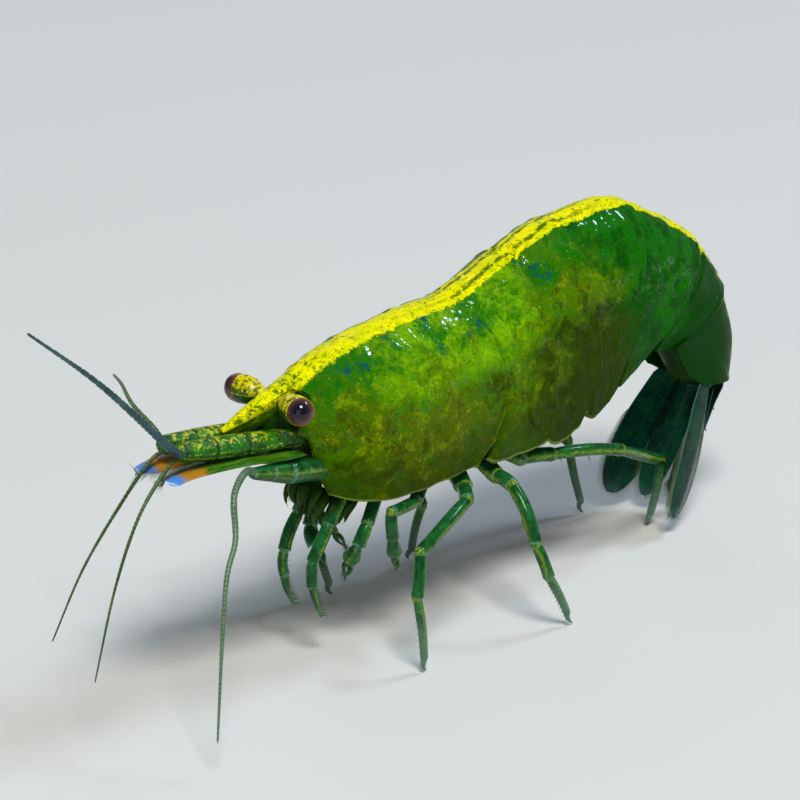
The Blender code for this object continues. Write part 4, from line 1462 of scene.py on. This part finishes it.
def peduncleFinish():
    tones = peduncleTones
    look = Look("peduncle", Specular_IOR_Level=0.4, Subsurface_Weight=0.1, Subsurface_Scale=0.0002)
    here = look.spots()
    fine = look.noise(here, 10.0, 3, 0.6)
    spotted = look.noise(here, 5.0, 6, 0.8, 0.6)
    top = look.wave(look.own("around") * math.tau)
    colour = look.laid(
        tones["green"],
        (look.fade(look.noise(here, 3.2, 5, 0.7, 0.4), 0.42, 0.6), tones["dark"]),
        (look.fade(spotted + top * 0.05, 0.56, 0.6) * look.fade(top, 0.1, 0.7) * 0.95, tones["yellow"]),
        (look.fade(look.own("joint"), 0.05, 0.02) * 0.85, tones["groove"]),
        (look.fade(look.size(top + 0.55), 0.12, 0.05) * look.fade(fine, 0.4, 0.55) * 0.7, tones["lowLine"]),
    )
    look.paint(Base_Color=colour, Roughness=0.16 + fine * 0.3)
    look.relief(fine + spotted * 1.5, 0.7, 0.03)
    return look


scaleTones = {
    "green": (0.012, 0.14, 0.004),
    "streak": (0.1, 0.24, 0.006),
    "orange": (0.6, 0.24, 0.012),
    "blue": (0.08, 0.3, 0.8),
    "edge": (0.6, 0.8, 0.95),
}


def scaleFinish():
    # green, then orange towards the tip and blue at its end; the blue is partly own colour and partly painted
    # highlight of the rim, and the pale rim at the very end is painted highlight
    tones = scaleTones
    look = Look(
        "antennalScale", Specular_IOR_Level=0.4, Transmission_Weight=0.15, Subsurface_Weight=0.1,
        Subsurface_Scale=0.0002,
    )
    here = look.spots()
    along = look.own("along")
    mottle = look.noise(here, 2.4, 4, 0.65, 0.3)
    streak = look.noise(look.node("Mapping", None, {"Vector": here, "Scale": (0.5, 5.0, 1.0)}), 2.4, 3, 0.6)
    orange = look.fade(along + (mottle - 0.5) * 0.16, 0.68, 0.78) * look.fade(along, 0.97, 0.86)
    colour = look.laid(
        tones["green"],
        (look.fade(streak, 0.4, 0.62), tones["streak"]),
        (orange * 0.9, tones["orange"]),
        # painted highlight: the blue end, partly own colour, and the pale rim stand in for the lamella's rim
        # catching light
        (look.fade(along + (mottle - 0.5) * 0.08, 0.86, 0.93), tones["blue"]),
        (look.fade(along, 0.975, 0.995) * 0.8, tones["edge"]),
    )
    look.paint(Base_Color=colour, Roughness=0.16 + streak * 0.25)
    look.relief(streak, 0.45, 0.02)
    return look


fanTones = {
    "teal": (0.002, 0.04, 0.03),
    "green": (0.004, 0.09, 0.03),
    "vein": (0.02, 0.16, 0.12),
    "dot": (0.22, 0.3, 0.01),
    "edge": (0.2, 0.42, 0.5),
    "end": (0.14, 0.3, 0.3),
    "veins": 22.0,  # radians of wave from the middle to the edge
}


def fanFinish():
    tones = fanTones
    look = Look("fan", Specular_IOR_Level=0.3, Transmission_Weight=0.4, IOR=1.3)
    here = look.spots()
    mottle = look.noise(here, 1.8, 4, 0.6, 0.3)
    fine = look.noise(here, 9.0, 3, 0.6)
    across = look.size(look.wave(look.own("around") * math.tau + math.pi / 2))  # 1 at both edges
    veins = look.size(look.wave(across * tones["veins"] + (mottle - 0.5) * 3.0))
    dots = look.fade(look.cells(here, 8.5), 0.2, 0.12) * look.fade(fine, 0.45, 0.6)
    colour = look.laid(
        tones["teal"],
        (look.fade(mottle, 0.38, 0.62), tones["green"]),
        (look.fade(veins, 0.25, 0.0) * 0.5, tones["vein"]),
        (dots * 0.7, tones["dot"]),
        (look.fade(across, 0.93, 0.99) * 0.6, tones["edge"]),
        (look.fade(look.own("along"), 0.9, 1.0) * 0.35, tones["end"]),
    )
    look.paint(Base_Color=colour, Roughness=0.14 + fine * 0.22)
    look.relief(veins * 0.7 + fine * 0.6, 0.35, 0.012)
    return look


# Two mottled tones, and the bright dot on top of each bead, a painted highlight
whipTones = {
    "paleWhip": ((0.01, 0.05, 0.07), (0.03, 0.1, 0.1), (0.75, 0.85, 0.8)),
    "greenWhip": ((0.03, 0.08, 0.015), (0.06, 0.12, 0.03), (0.14, 0.24, 0.1)),
    "antennaWhip": ((0.07, 0.15, 0.07), (0.12, 0.2, 0.12), (0.16, 0.26, 0.15)),
}


def whipFinish(name):
    # ringed by the length along it in millimetres
    base, band, dot = whipTones[name]
    look = Look(name, Specular_IOR_Level=0.4, Subsurface_Weight=0.1, Subsurface_Scale=0.0001)
    mottle = look.noise(look.spots(), 1.5, 3, 0.6)
    beads = look.wave(look.own("along") * (math.tau / feelerShapes["antennuleOuter"]["bead"])) * 0.5 + 0.5
    top = look.wave(look.own("around") * math.tau)
    colour = look.laid(
        base,
        (look.fade(mottle, 0.4, 0.6), band),
        # painted highlight: a bright dot on the upper side of each bead
        (look.fade(beads, 0.35, 0.7) * look.fade(top, -0.2, 0.3) * 0.95, dot),
    )
    look.paint(Base_Color=colour, Roughness=0.2 + mottle * 0.2)
    look.relief(beads, 0.4, 0.012)
    return look


# From the back of the eye, 0, to the middle of its pupil, 1
eyeTones = {
    "rings": [
        (0.0, (0.5, 0.24, 0.01)), (0.66, (0.5, 0.24, 0.02)), (0.7, (0.3, 0.1, 0.025)),
        (0.76, (0.17, 0.06, 0.04)), (0.85, (0.09, 0.035, 0.035)), (0.92, (0.03, 0.015, 0.024)),
        (0.96, (0.003, 0.003, 0.014)), (1.0, (0.002, 0.002, 0.01)),
    ],
    "facet": (0.01, 0.006, 0.012),
}


def eyeFinish():
    look = Look("eye", Coat_Weight=0.7, Coat_Roughness=0.02, Specular_IOR_Level=0.15, IOR=1.4)
    here = look.spots()
    mottle = look.noise(here, 5.0, 3, 0.6)
    facets = look.cells(here, 24.0)
    place = look.own("pupil") * 0.5 + 0.5 + (mottle - 0.5) * 0.04
    rings = look.node("ValToRGB", {"stops": eyeTones["rings"]}, {"Fac": place})
    colour = look.laid(rings, (look.fade(facets, 0.25, 0.5) * 0.35, eyeTones["facet"]))
    look.paint(Base_Color=colour, Roughness=0.1 + facets * 0.12)
    look.relief(facets, 0.12, 0.004)
    return look


stalkTones = {
    "green": (0.008, 0.09, 0.004),
    "olive": (0.05, 0.12, 0.004),
    # yellow: own colour, kept to the upper side as partly painted light
    "yellow": (0.78, 0.68, 0.0),
    "speck": (0.02, 0.1, 0.002),
}


def stalkFinish():
    tones = stalkTones
    look = Look("stalk", Specular_IOR_Level=0.4, Subsurface_Weight=0.1, Subsurface_Scale=0.0002)
    here = look.spots()
    fine = look.noise(here, 8.0, 3, 0.6)
    top = look.wave(look.own("around") * math.tau)
    patch = look.noise(here, 5.0, 5, 0.75)
    colour = look.laid(
        tones["green"],
        (look.fade(fine, 0.42, 0.6), tones["olive"]),
        # yellow only on the upper side: partly the stalk's own yellow, partly painted light falling from
        # above
        (look.fade(top + (patch - 0.5) * 3.0, 0.15, 0.4), tones["yellow"]),
        (look.fade(look.noise(here, 6.0, 5, 0.8), 0.49, 0.55) * 0.9, tones["speck"]),
    )
    look.paint(Base_Color=colour, Roughness=0.2 + fine * 0.2)
    look.relief(fine, 0.35, 0.015)
    return look


hairTones = {"pale": (0.16, 0.2, 0.06), "green": (0.05, 0.12, 0.04)}


def hairFinish():
    look = Look("hair", Coat_Weight=0.3, Transmission_Weight=0.2)
    tint = look.noise(look.spots(), 1.2)
    colour = look.laid(hairTones["pale"], (look.fade(tint, 0.4, 0.6), hairTones["green"]))
    look.paint(Base_Color=colour, Roughness=0.3 + tint * 0.2, Alpha=0.9 - look.own("along") * 0.45)
    return look


shellLook = shellFinish()
fleshLook = fleshFinish()
legLook = legFinish()
peduncleLook = peduncleFinish()
scaleLook = scaleFinish()
fanLook = fanFinish()
paleWhipLook, greenWhipLook, antennaLook = (whipFinish(name) for name in whipTones)
eyeLook = eyeFinish()
stalkLook = stalkFinish()
hairLook = hairFinish()
print("finishes made")

makeCarapace(shellLook)
print("carapace made")
makeTailPlates(shellLook)
makeFlesh(fleshLook)
print("tail plates and flesh made")
for name, joints in legShape["joints"].items():
    word, number = name[:-1], name[-1]
    nodes = (f"leg_{number}_{word}_upper", f"leg_{number}_{word}_lower")
    makeLeg(f"leg{word.capitalize()}{number}", joints, legLook, nodes)
for word in sides:
    makeFrontLimb("maxilliped", word, legLook, hairLook, f"maxilliped_{word}")
    makeFrontLimb("cheliped1", word, legLook, hairLook, f"cheliped_1_{word}")
    makeFrontLimb("cheliped2", word, legLook, hairLook, f"cheliped_2_{word}")
    makeEye(word, eyeLook, stalkLook)
makeMouth(fleshLook, hairLook)
makeAntennules(peduncleLook, paleWhipLook, greenWhipLook, hairLook)
makeAntennae(legLook, scaleLook, antennaLook, hairLook)
print("limbs and head made")
makeTailFan(fanLook, hairLook)
makePaddles(fanLook, hairLook)
print("fan and paddles made")

# Stage: the floor's size in metres, and the rest in millimetres and degrees
stageShape = {
    "floor": 3.0,
    "floorTone": (0.78, 0.78, 0.76),
    "azimuth": -43.5,
    "elevation": 21.5,
    "distance": 160.0,
    "lookAt": (7.4, 0, 6.8),
    "sensor": 36,
    "lens": 247.68,
    "lampsAt": (7, 0, 6),
    "sky": (0.8, 0.85, 0.9, 1),
    "skyStrength": 0.16,
}
clearSelection()
bpy.ops.mesh.primitive_plane_add(size=stageShape["floor"])
floor = named("floor")
floorLook = Look("floorPaint", Roughness=0.7, Base_Color=stageShape["floorTone"])
floor.data.materials.append(floorLook.material)


def placed(name, data, spot, target):
    # a camera or lamp at a spot, aimed at a target
    thing = bpy.data.objects.new(name, data)
    bpy.context.scene.collection.objects.link(thing)
    thing.location = toFrame(spot)
    thing.rotation_euler = (toFrame(target) - toFrame(spot)).to_track_quat("-Z", "Y").to_euler()
    return thing


azimuth = math.radians(stageShape["azimuth"])
elevation = math.radians(stageShape["elevation"])
back = np.array([
    math.sin(azimuth) * math.cos(elevation), -math.cos(azimuth) * math.cos(elevation), math.sin(elevation),
])
target = np.array(stageShape["lookAt"])
lens = bpy.data.cameras.new("camera")
lens.sensor_width = stageShape["sensor"]
lens.lens = stageShape["lens"]
lens.clip_start = 0.001
lens.clip_end = 10
bpy.context.scene.camera = placed("camera", lens, target + back * stageShape["distance"], target)

lamps = {
    "key": {"spot": (-75, -150, 300), "size": (100, 100), "power": 0.84, "colour": (1, 0.98, 0.94)},
    "fill": {"spot": (-275, -175, 100), "size": (220, 220), "power": 0.1, "colour": (0.92, 0.96, 1)},
    "streak": {"spot": (238, -50, 275), "size": (100, 34), "power": 0.4, "colour": (0.62, 0.8, 1)},
    "rim": {"spot": (150, 275, 150), "size": (150, 150), "power": 0.06, "colour": (1, 1, 1)},
}
for name, lamp in lamps.items():
    light = bpy.data.lights.new(name, "AREA")
    light.shape = "RECTANGLE"
    light.size, light.size_y = (length * mm for length in lamp["size"])
    light.energy = lamp["power"]
    light.color = lamp["colour"]
    placed(name, light, lamp["spot"], stageShape["lampsAt"])
world = bpy.data.worlds.new("studio")
bpy.context.scene.world = world
world.use_nodes = True
background = world.node_tree.nodes["Background"]
background.inputs["Color"].default_value = stageShape["sky"]
background.inputs["Strength"].default_value = stageShape["skyStrength"]
bpy.context.scene.view_settings.view_transform = "Standard"
